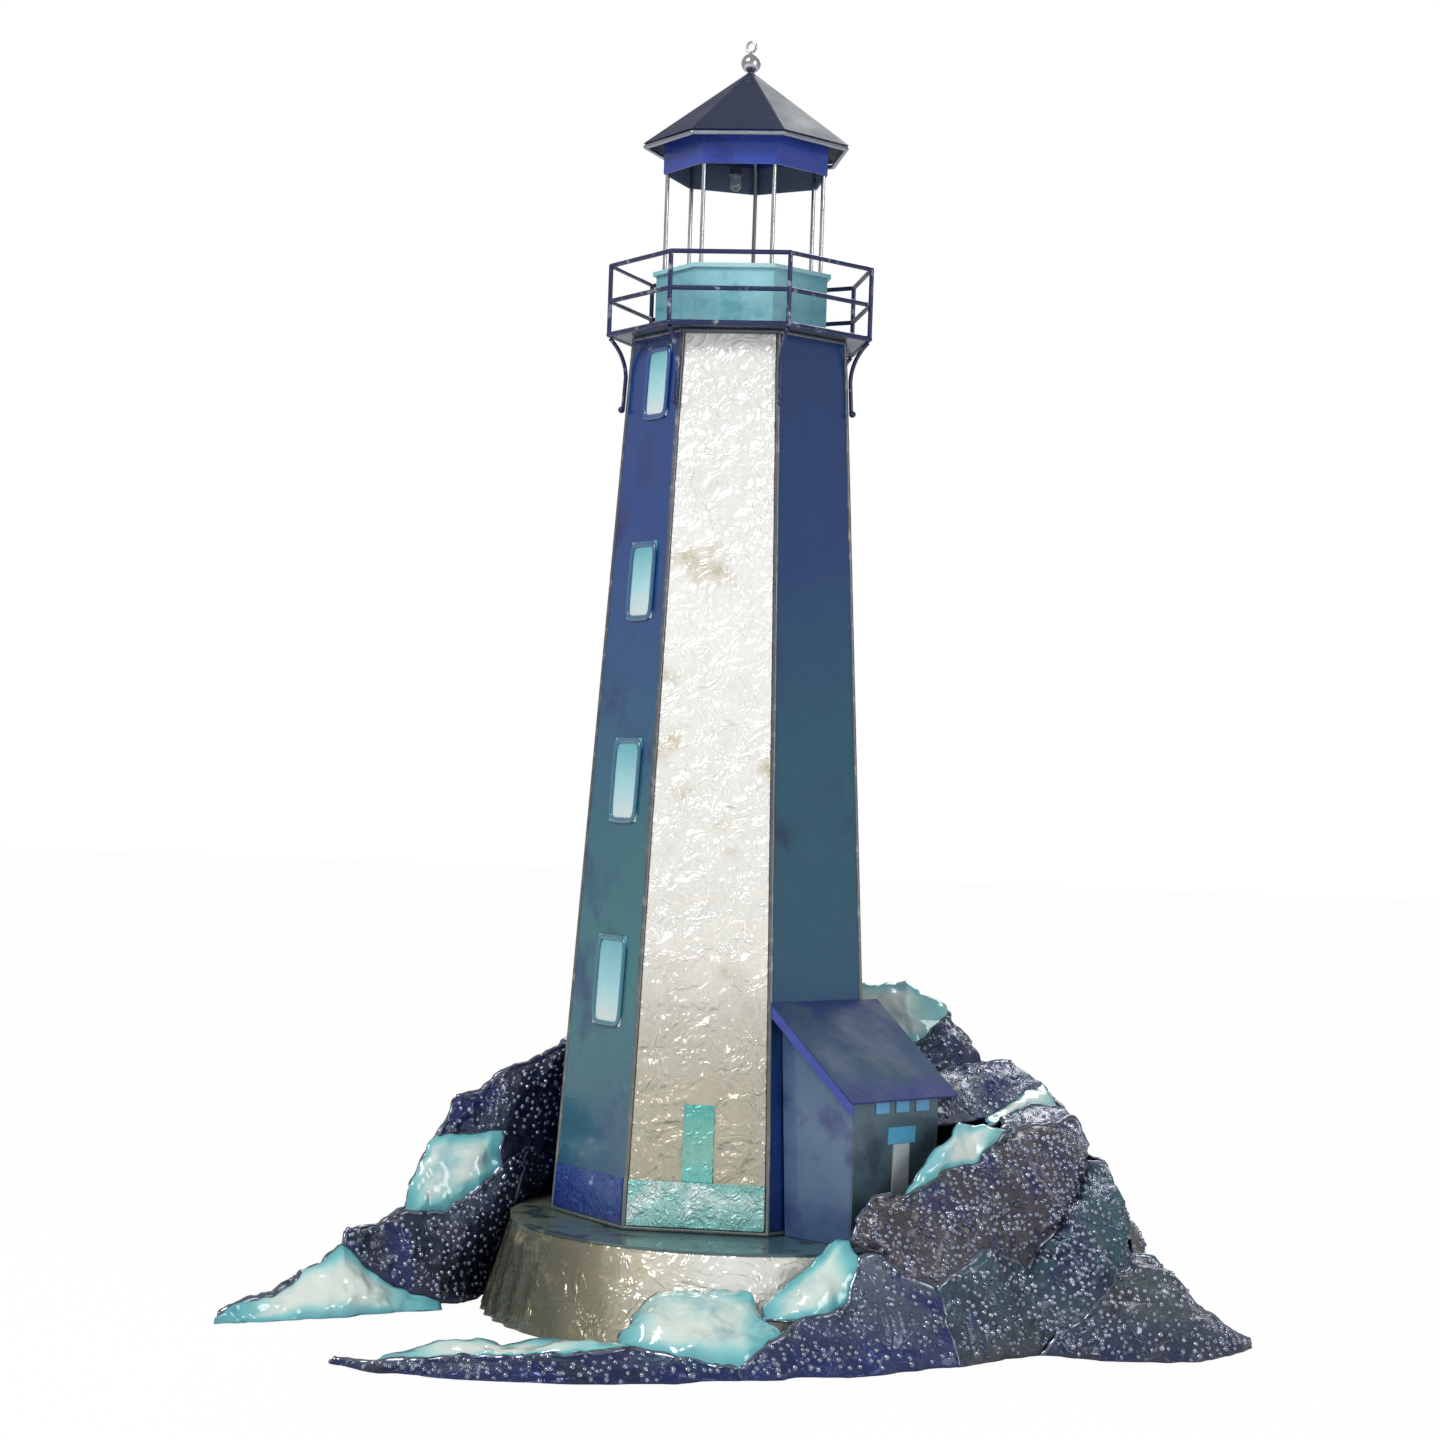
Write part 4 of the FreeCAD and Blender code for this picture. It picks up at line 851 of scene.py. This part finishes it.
plinth_green = coat(
    "plinth_green",
    [(0.0, (98, 106, 90)), (0.35, (70, 96, 98)), (0.7, (60, 92, 100)), (1.0, (78, 108, 114))],
    span=(-0.09, 0.1),
    axis=(1, 0, 0),
    wobble=0.5,
    blotch=(34, 50, 58),
    blotch_scale=60.0,
    blotch_range=(0.52, 0.62),
    rough=(0.28, 0.46),
    grain=(160.0, 0.0008),
    gloss=0.35,
)
dress(plinth_green, "plinth_top")

# ---------------------------------------------------------------- rocks
# Thin pressed sheets: dark enamel with raised silver dots, and smooth aqua pieces between
# them, soldered edge to edge; a bead of solder runs along each dark sheet's upper edge.
# A station is a lower and an upper point of a sheet in millimetres, seen square from the
# rocks' front.  Stations follow one another along the sheet, from left to right.
FRONT_ROCKS = {
    "glass_left_low": "-204 -84 0 -203 -83 3, -174 -69 0 -177 -55 16, -153 -58 0 -156 -42 27,"
    "-135 -45 0 -136 -32 10, -115 -32 0 -116 -30 3",
    "rock_left_low": "-156 -42 27 -154 -38 32, -136 -32 10 -135 -15 41, -116 -30 3 -115 -8 39,"
    "-105 -12 0 -94 5 58, -101 20 0 -82 20 66",
    "glass_left_high": "-135 -15 41 -134 -14 46, -115 -8 39 -122 0 72, -94 5 58 -94 10 72",
    "rock_left_high": "-122 0 72 -116 10 86, -94 10 72 -92 20 99, -82 20 66 -72 35 110,"
    "-72 42 60 -54 60 116",
    "glass_back": "40 66 112 38 72 138, 68 36 112 72 52 140, 89 30 117 85 50 142,"
    "103 38 127 102 45 133",
    "rock_back_high": "66 22 92 68 36 112, 78 14 100 89 30 117, 101 12 107 103 38 127,"
    "120 25 111 116 32 118",
    "rock_back_low": "76 -2 78 66 22 92, 90 -30 84 78 14 100, 116 -25 89 101 12 107,"
    "130 -10 96 120 25 111, 144 16 103 131 22 110",
    "glass_back_strip": "118 -35 87 116 -25 89, 132 -20 93 130 -10 96, 148 0 94 144 16 103",
    "rock_right_big": "54 -112 47 58 -110 54, 66 -116 40 66 -102 65, 76 -118 34 79 -92 64,"
    "89 -112 30 94 -82 72, 111 -98 44 118 -58 80, 132 -75 35 142 -28 90,"
    "150 -50 54 157 -12 88, 163 -20 71 165 -12 76",
    "glass_right": "79 -92 64 81 -90 67, 94 -82 72 101 -68 93, 118 -58 80 122 -54 86",
    "rock_right_outer": "101 -122 0 89 -112 30, 119 -100 0 111 -98 44, 136 -93 0 132 -75 35,"
    "148 -88 11 150 -50 54, 161 -80 21 163 -20 71, 180 -52 35 172 -22 72",
    "rock_right_tip": "136 -93 0 148 -88 11, 160 -97 0 161 -80 21, 185 -96 0 180 -52 35,"
    "202 -92 0 187 -54 36, 216 -79 0 206 -57 18, 229 -57 0 228 -56 2",
    "rock_front": "13 -164 0 12 -162 4, 28 -160 0 28 -150 12, 42 -153 0 36 -138 20,"
    "58 -147 0 55 -126 26, 66 -143 0 59 -118 40, 76 -137 0 66 -116 40,"
    "88 -130 0 76 -118 34, 101 -122 0 89 -112 30",
    "glass_front_right": "23 -131 17 23 -125 24, 36 -138 20 36 -120 36, 55 -126 26 48 -113 48,"
    "59 -118 40 54 -112 47",
    "glass_front": "-34 -145 10 -32 -126 15, -30 -157 9 -20 -120 26, -4 -160 7 2 -117.7 27,"
    "12 -162 4 16 -120 25, 28 -150 12 23 -131 17",
    "glass_front_strip": "-127 -160 3 -124 -155 5, -96 -163 5 -105 -150 8,"
    "-57 -163 7 -58 -148 11, -30 -157 9 -34 -145 10",
    "rock_front_strip": "-147 -155 0 -146 -154 2, -127 -170 0 -127 -160 3,"
    "-96 -179 0 -96 -163 5, -57 -181 0 -57 -163 7, -33 -178 0 -30 -157 9,"
    "-6 -171 0 -4 -160 7, 13 -164 0 12 -162 4",
}
FILLERS = {
    "rock_back_low": [
        "118 -58 80 122 -54 86, 130 -43 85 125 -27.5 90, 142 -28 90 132 -20 93,"
        "157 -12 88 148 0 94"
    ],
    "rock_left_low": [
        "-101 20 0 -82 20 66, -93 53 0 -72 42 60",
        "-94 5 58 -94 10 72, -83.2 18.5 65.2 -83.2 19 66.6",
    ],
}
REAR_ROCKS = {
    "rock_rear_left": "-203 -79 0 -203 -79 4, -168 5 0 -156 -38 29, -150 35 0 -135 -11 45,"
    "-125 70 0 -116 14 86, -95 95 0 -92 24 99, -62 108 0 -72 39 110",
    "rock_rear_middle": "-62 108 0 -72 39 110, -25 116 0 -54 64 116, 10 118 0 -6 76 122,"
    "45 114 0 38 76 138",
    "rock_rear_right": "45 114 0 38 76 138, 80 100 0 72 56 140, 110 85 0 102 49 133,"
    "118 80 0 104 42.2 127, 135 68 0 120 36 112, 160 45 0 144 20 103, 178 20 0 157 -8 88,"
    "185 8 0 163.5 -8 75, 192 -5 0 172 -18 72, 205 -25 0 181 -47.8 36,"
    "216 -40 0 206 -53 18, 229 -52 0 229 -52 3",
}
ROCK_TURN = math.radians(6.57)
SHEET = 1.6
BULGE = 0.10
GRID_PITCH = 1.3
REAR_SINK = 2.5
ROCK_LUMP, ROCK_CELL = 5.0, 12.0
GLASS_LUMP, GLASS_CELL = 3.6, 20.0
DRIFT_WIDE, DRIFT_FINE = 5.5, 2.0
FRONT_REACH, REAR_REACH, SIDE_REACH = 184.0, 116.0, 226.0
DOT_PITCH = 4.7
DOT_RADII = (0.95, 1.4)
TOP_BEAD, SIDE_BEAD, GLASS_BEAD = 1.5, 1.1, 0.6


def turned(points):
    """The rocks' own points, turned about the upright axis to the tower's frame."""
    cos, sin = math.cos(ROCK_TURN), math.sin(ROCK_TURN)
    x, y, z = points[..., 0], points[..., 1], points[..., 2]
    return np.stack([x * cos - y * sin, x * sin + y * cos, z], -1)


def drifted(points):
    """Every rock's points pushed by one field of noise, so that shared edges stay shared.

    The push is a wide and a fine noise added up, and fades out at the ground and at the outer reach.
    """
    wide = [(noise(points, 13.0, 50 + 7 * i) - 0.5) * DRIFT_WIDE for i in range(3)]
    fine = [(noise(points, 4.5, 80 + 7 * i) - 0.5) * DRIFT_FINE for i in range(3)]
    push = np.stack(wide, -1) + np.stack(fine, -1)
    push[..., 2] *= np.clip(points[..., 2] / 10, 0, 1)
    push *= np.clip((points[..., 1:2] + FRONT_REACH) / 14, 0, 1)
    push *= np.clip((REAR_REACH - points[..., 1:2]) / 14, 0, 1)
    push[..., 0] *= np.clip((SIDE_REACH - np.abs(points[..., 0])) / 30, 0, 1)
    return points + push


def sheet_grid(text, backward, lump, cell, seed):
    """Outer grid of a rock sheet: stations joined by straight lines, arched by its height, lumpy."""
    stations = np.array([[float(v) for v in s.split()] for s in text.split(",")])
    low, high = stations[:, :3], stations[:, 3:]
    steps = np.linalg.norm(np.diff((low + high) / 2, axis=0), axis=1)
    counts = np.maximum((steps / GRID_PITCH).astype(int), 2)
    place = np.concatenate([i + np.arange(n) / n for i, n in enumerate(counts)] + [[len(steps)]])
    known = np.arange(len(stations))
    lower = np.stack([np.interp(place, known, low[:, i]) for i in range(3)], -1)
    upper = np.stack([np.interp(place, known, high[:, i]) for i in range(3)], -1)
    if backward == -1:
        upper[:, 2] -= REAR_SINK * np.clip(upper[:, 2] / 20, 0, 1)
    height = np.linalg.norm(upper - lower, axis=1)
    rows = max(int(height.max() / GRID_PITCH), 6)
    v = np.linspace(0, 1, rows)[:, None, None]
    arch = 4 * v * (1 - v) * BULGE * height[None, :, None] * np.array([0, -backward, 0.5])
    points = lower[None] * (1 - v) + upper[None] * v + arch
    weight = fading(rows, len(place), 0.16)
    push = (noise(points, cell, seed) - 0.45) * lump + (noise(points, cell / 3, seed) - 0.5) * lump * 0.3
    points = drifted(points + (push * weight)[..., None] * np.array([0, -backward, 0.35]))
    points[..., 2] = np.maximum(points[..., 2], 0.0)
    return points


def sheet_back(points, backward):
    """Inner grid, one sheet's thickness behind the outer one and a little below it off the ground."""
    drop = np.minimum(0.7, points[..., 2] / 3)
    shift = np.stack([np.zeros_like(drop), np.full_like(drop, backward), -drop], -1)
    return points + shift * SHEET


def outward(grid):
    """Unit normals of a grid: the cross product of its steps across and up."""
    across = np.gradient(grid, axis=1)
    up = np.gradient(grid, axis=0)
    normal = np.cross(across, up)
    return normal / np.maximum(np.linalg.norm(normal, axis=-1, keepdims=True), 1e-6)


CAP = np.array([[0, 1, 2, 3], [0, 3, 4, 7], [4, 5, 6, 7]])


def dots_on(grid, seed):
    """Raised dots on a grid, about a pitch apart and scattered, off its edges.

    Each is a dome of three rings of eight points: wide and a little sunk, then narrower and higher.
    """
    rng = np.random.default_rng(seed)
    tall = np.linalg.norm(np.diff(grid, axis=0), axis=-1).sum(0).max()
    lines = max(int(tall / DOT_PITCH), 1)
    row = (np.arange(lines) + 0.5) / lines
    centre_row = (row * (grid.shape[0] - 1)).astype(int)
    spans = np.linalg.norm(np.diff(grid, axis=1), axis=-1).sum(1)[centre_row]
    places = []
    for share, span in zip(row, spans):
        count = max(int(span / DOT_PITCH), 1)
        across = (np.arange(count) + rng.uniform(0.15, 0.85, count)) / count
        up = share + rng.uniform(-0.34, 0.34, count) / lines
        places.append(np.stack([up, across], -1))
    places = np.concatenate(places)
    rows, cols = grid.shape[:2]
    r = np.clip(np.rint(places[:, 0] * (rows - 1)).astype(int), 0, rows - 1)
    c = np.clip(np.rint(places[:, 1] * (cols - 1)).astype(int), 0, cols - 1)
    local = np.linalg.norm(grid[-1, c] - grid[0, c], axis=-1)
    margin = np.minimum(places[:, 0], 1 - places[:, 0]) * local
    ok = (margin > 1.8) & (c > 1) & (c < cols - 2)
    keep = rng.uniform(0, 1, len(ok)) < np.clip(local / tall * 1.6, 0, 1)
    r, c = r[ok & keep], c[ok & keep]
    centre = grid[r, c]
    normal = outward(grid)[r, c]
    side = np.cross(normal, [0.0, 0.0, 1.0])
    side /= np.maximum(np.linalg.norm(side, axis=-1, keepdims=True), 1e-6)
    up = np.cross(normal, side)
    radius = rng.uniform(*DOT_RADII, len(r))[:, None, None]
    turn = np.linspace(0, 2 * math.pi, 8, endpoint=False)
    rings = []
    for spread, lift in ((1.0, -0.25), (0.75, 0.45), (0.35, 0.75)):
        ring = np.cos(turn)[None, :, None] * side[:, None] - np.sin(turn)[None, :, None] * up[:, None]
        rings.append(centre[:, None] + radius * (ring * spread + lift * normal[:, None]))
    points = np.concatenate(rings, 1).reshape(-1, 3)
    base = np.arange(8)
    after = np.roll(base, -1)
    skirt = np.stack([base, after, after + 8, base + 8], -1)
    dome = np.concatenate([skirt, skirt + 8, CAP + 16])
    quads = dome[None] + (np.arange(len(r)) * 24)[:, None, None]
    return points, quads.reshape(-1, 4)


def bead_along(path, radius, seed):
    """Uneven bead of solder along an open path: eight-sided rings, radius times 0.7 to 1.3."""
    steps = np.concatenate([[0], np.cumsum(np.linalg.norm(np.diff(path, axis=0), axis=1))])
    place = np.linspace(0, steps[-1], max(int(steps[-1] / 0.9), 4))
    path = np.stack([np.interp(place, steps, path[:, i]) for i in range(3)], -1)
    path[:, :2] += (noise(path, 6.0, seed)[:, None] - 0.5) * 0.6
    tangent = np.gradient(path, axis=0)
    tangent /= np.linalg.norm(tangent, axis=1, keepdims=True)
    side = np.cross(tangent, [0.02, 1.0, 0.05])
    side /= np.linalg.norm(side, axis=1, keepdims=True)
    out = np.cross(side, tangent)
    swell = radius * (0.7 + 0.6 * noise(path, 2.4, seed))
    swell[[0, -1]] *= 0.3
    turn = np.linspace(0, 2 * math.pi, 8, endpoint=False)
    points = path[:, None] + swell[:, None, None] * (
        np.cos(turn)[None, :, None] * side[:, None] + np.sin(turn)[None, :, None] * out[:, None]
    )
    index = np.arange(len(path) * 8).reshape(-1, 8)
    after = np.roll(index, -1, 1)
    quads = np.stack([index[:-1], after[:-1], after[1:], index[1:]], -1).reshape(-1, 4)
    last = CAP + (len(path) - 1) * 8
    return points.reshape(-1, 3), np.concatenate([quads, CAP[:, ::-1], last])


def enamel(name, low, middle, high, patch, top=0.12, wobble=1.4):
    """Dark pressed enamel: three colours up its height, pushed about, and patches of a fourth."""
    return coat(
        name,
        [(0.0, low), (0.5, middle), (1.0, high)],
        span=(0.0, top),
        wobble=wobble,
        wobble_scale=26.0,
        blotch=patch,
        blotch_scale=30.0,
        blotch_range=(0.5, 0.64),
        metallic=0.4,
        rough=(0.2, 0.4),
        crease=(150.0, 0.0013),
        gloss=0.4,
    )


slate = enamel("enamel_slate", (26, 32, 52), (50, 58, 78), (34, 40, 62), (26, 34, 90))
brown = enamel("enamel_brown", (84, 82, 88), (66, 62, 70), (96, 90, 92), (34, 42, 98))
teal = enamel("enamel_teal", (62, 70, 78), (46, 78, 92), (66, 100, 108), (40, 52, 84), 0.07, 1.0)
ash = enamel("enamel_ash", (40, 48, 82), (80, 90, 94), (60, 68, 74), (48, 54, 62), 0.05, 0.8)
navy = enamel("enamel_navy", (16, 34, 88), (26, 46, 104), (48, 64, 100), (18, 28, 58))
dusk = enamel("enamel_dusk", (20, 38, 94), (70, 80, 102), (106, 114, 130), (24, 42, 100), 0.045, 0.9)
ENAMELS = {
    "rock_left_low": slate,
    "rock_left_high": slate,
    "rock_back_high": navy,
    "rock_back_low": dusk,
    "rock_right_big": brown,
    "rock_right_outer": teal,
    "rock_right_tip": ash,
    "rock_front": dusk,
    "rock_front_strip": navy,
    "rock_rear_left": slate,
    "rock_rear_middle": teal,
    "rock_rear_right": brown,
}
shore = coat(
    "shore",
    [(0.0, (82, 160, 170)), (0.25, (124, 192, 194)), (0.6, (190, 212, 206)), (1.0, (210, 220, 212))],
    span=(0.0, 1.0),
    wobble=0.7,
    wobble_scale=26.0,
    attribute="middle",
    blotch=(96, 176, 186),
    blotch_scale=18.0,
    blotch_range=(0.52, 0.72),
    rough=(0.08, 0.2),
    grain=(60.0, 0.0008),
    gloss=0.9,
)
dot_silver = coat(
    "dot_silver",
    [(0.0, (116, 124, 146)), (0.5, (152, 158, 174)), (1.0, (194, 198, 206))],
    wobble=2.4,
    wobble_scale=60.0,
    blotch=(62, 70, 100),
    blotch_scale=110.0,
    blotch_range=(0.5, 0.62),
    metallic=0.7,
    rough=(0.1, 0.2),
    gloss=1.0,
)
seam_silver = coat(
    "seam_silver",
    [(0.0, (120, 126, 140)), (1.0, (90, 98, 116))],
    wobble=1.5,
    wobble_scale=60.0,
    blotch=(50, 60, 84),
    blotch_scale=120.0,
    metallic=0.9,
    rough=(0.2, 0.38),
    gloss=0.3,
)


def joined(parts):
    """One set of points and faces from several, none of it past the frame's own box."""
    starts = np.cumsum([0] + [len(points) for points, _ in parts])
    points = np.concatenate([points for points, _ in parts])
    points = np.clip(points, np.array(cad_low) / MM, np.array(cad_high) / MM)
    return points, np.concatenate([quads + start for (_, quads), start in zip(parts, starts)])


# Front sheets have their back on the far side, and rear sheets on the near side.  The third
# sheet of a rock only closes a narrow gap and has no dots.
for backward, group in ((1, FRONT_ROCKS), (-1, REAR_ROCKS)):
    for order, (label, text) in enumerate(group.items()):
        smooth = label.startswith("glass")
        lump, cell = (GLASS_LUMP, GLASS_CELL) if smooth else (ROCK_LUMP, ROCK_CELL)
        sheets, dots, beads, middles = [], [], [], []
        for part, words in enumerate([text] + FILLERS.get(label, [])):
            outer = sheet_grid(words, backward, lump, cell, 7 + 3 * order)
            inner = sheet_back(outer, backward)
            facing, behind = turned(outer), turned(inner)
            if backward == -1:
                facing, behind = facing[:, ::-1], behind[:, ::-1]
            sheets.append(slab(facing, behind))
            middles.append(np.tile(fading(*facing.shape[:2], 0.42).ravel(), 2))
            if not smooth and part < 2:
                dots.append(dots_on(facing, 100 + order))
            edge = facing * 0.6 + behind * 0.4 - np.array([0, 0, 0.2])
            if smooth:
                loop = np.concatenate([edge[0], edge[:, -1], edge[-1, ::-1], edge[::-1, 0]])
                beads.append(bead_along(loop, GLASS_BEAD, 300 + order))
            else:
                beads.append(bead_along(edge[-1], TOP_BEAD, 300 + order))
                beads.append(bead_along(edge[:, 0], SIDE_BEAD, 330 + order))
        material = shore if smooth else ENAMELS[label]
        slot = "shore_glass" if smooth else "rock_sheet"
        piece = add_piece(label + "_skin", *joined(sheets), material, slot, label)
        middle = piece.data.attributes.new("middle", "FLOAT", "POINT")
        middle.data.foreach_set("value", np.concatenate(middles).astype(np.float32))
        if dots:
            add_piece(label + "_dots", *joined(dots), dot_silver, "rock_sheet")
        add_piece(label + "_seam", *joined(beads), seam_silver, "rock_sheet")

# ---------------------------------------------------------------- pieces under the plinth
# The base plate with its hatch, and the battery case, cells and switch inside: plain coated
# steel and moulded plastic that no one sees when the light stands.
base_dark = coat(
    "base_dark",
    [(0.0, (50, 52, 56)), (1.0, (64, 66, 70))],
    wobble=0.8,
    rough=(0.35, 0.55),
    gloss=0.1,
)
case_black = coat(
    "case_black",
    [(0.0, (30, 31, 33)), (1.0, (42, 43, 45))],
    wobble=0.8,
    rough=(0.4, 0.6),
    gloss=0.0,
)
cell_grey = coat(
    "cell_grey",
    [(0.0, (90, 94, 100)), (0.85, (96, 100, 106)), (0.9, (150, 130, 90)), (1.0, (150, 130, 90))],
    span=(-0.025, 0.025),
    axis=(1, 0, 0),
    wobble=0.0,
    metallic=0.4,
)
dress(base_dark, "base_plate", "battery_hatch")
dress(case_black, "battery_case", "switch_body", "switch_slider")
dress(cell_grey, "battery_cells")

# ---------------------------------------------------------------- floor, light and camera
# A plain white floor that the camera sees as background, three soft boxes and an even sky;
# the camera stands in front of the pearl panel, a little to its right, and is rolled slightly.
FLOOR_REACH = 6.0
FLOOR_DROP = 0.0005
FLOOR_SHOWN = 0.97
SKY_STRENGTH = 0.42
floor_mesh = bpy.data.meshes.new("floor")
corners = np.array([(-1, -1, 0), (1, -1, 0), (1, 1, 0), (-1, 1, 0)]) * FLOOR_REACH
floor_mesh.from_pydata(corners.tolist(), [], [(0, 1, 2, 3)])
floor = bpy.data.objects.new("floor", floor_mesh)
scene.collection.objects.link(floor)
floor.location.z = -FLOOR_DROP
floor_paint = bpy.data.materials.new("floor_paint")
floor_paint.use_nodes = True
floor_tree = floor_paint.node_tree
floor_shader = floor_tree.nodes["Principled BSDF"]
floor_shader.inputs["Base Color"].default_value = linear(238, 238, 240)
floor_shader.inputs["Roughness"].default_value = 0.9
floor_shader.inputs["Specular IOR Level"].default_value = 0.0
floor_glow = floor_tree.nodes.new("ShaderNodeEmission")
floor_mix = floor_tree.nodes.new("ShaderNodeMixShader")
floor_rays = floor_tree.nodes.new("ShaderNodeLightPath")
floor_share = floor_tree.nodes.new("ShaderNodeMath")
floor_share.operation = "MULTIPLY"
floor_share.inputs[1].default_value = FLOOR_SHOWN
floor_tree.links.new(floor_rays.outputs["Is Camera Ray"], floor_share.inputs[0])
floor_tree.links.new(floor_share.outputs[0], floor_mix.inputs["Fac"])
floor_tree.links.new(floor_shader.outputs["BSDF"], floor_mix.inputs[1])
floor_tree.links.new(floor_glow.outputs["Emission"], floor_mix.inputs[2])
floor_tree.links.new(floor_mix.outputs["Shader"], floor_tree.nodes["Material Output"].inputs["Surface"])
floor_mesh.materials.append(floor_paint)

world = bpy.data.worlds.new("studio")
scene.world = world
world.use_nodes = True
world_tree = world.node_tree
sky = world_tree.nodes["Background"]
sky.inputs["Color"].default_value = (1.0, 1.0, 1.0, 1.0)
sky.inputs["Strength"].default_value = SKY_STRENGTH
backdrop = world_tree.nodes.new("ShaderNodeBackground")
backdrop.inputs["Color"].default_value = (1.0, 1.0, 1.0, 1.0)
backdrop.inputs["Strength"].default_value = 1.0
world_mix = world_tree.nodes.new("ShaderNodeMixShader")
world_rays = world_tree.nodes.new("ShaderNodeLightPath")
world_tree.links.new(world_rays.outputs["Is Camera Ray"], world_mix.inputs["Fac"])
world_tree.links.new(sky.outputs["Background"], world_mix.inputs[1])
world_tree.links.new(backdrop.outputs["Background"], world_mix.inputs[2])
world_tree.links.new(world_mix.outputs["Shader"], world_tree.nodes["World Output"].inputs["Surface"])


def soft_box(name, place, size, power):
    """Square area light at a place, facing the middle of the tower."""
    light = bpy.data.lights.new(name, "AREA")
    light.size = size
    light.energy = power
    lamp = bpy.data.objects.new(name, light)
    scene.collection.objects.link(lamp)
    target = np.array([0.0, 0.0, 0.25])
    away = np.array(place) - target
    lamp.location = place
    lamp.rotation_euler = Vector(away).to_track_quat("Z", "Y").to_euler()


soft_box("key", (-1.0, -1.4, 1.7), 0.7, 34.0)
soft_box("fill", (1.7, -1.3, 0.6), 0.9, 12.0)
soft_box("rim", (0.3, 1.6, 1.5), 1.0, 14.0)

CAMERA_PLACE = (0.148, -1.312, 0.2314)
CAMERA_ROLL = math.radians(1.93)
FRAME_WIDTH = 1440
FRAME_SHIFT = 60
camera_data = bpy.data.cameras.new("camera")
camera_data.lens = 75.0
camera_data.sensor_width = 36.0
camera_data.shift_y = FRAME_SHIFT / FRAME_WIDTH
camera = bpy.data.objects.new("camera", camera_data)
scene.collection.objects.link(camera)
camera.matrix_world = (
    Matrix.Translation(CAMERA_PLACE)
    @ Matrix.Rotation(ROCK_TURN, 4, "Z")
    @ Matrix.Rotation(math.radians(90), 4, "X")
    @ Matrix.Rotation(CAMERA_ROLL, 4, "Z")
)
scene.camera = camera
scene.view_settings.view_transform = "Standard"
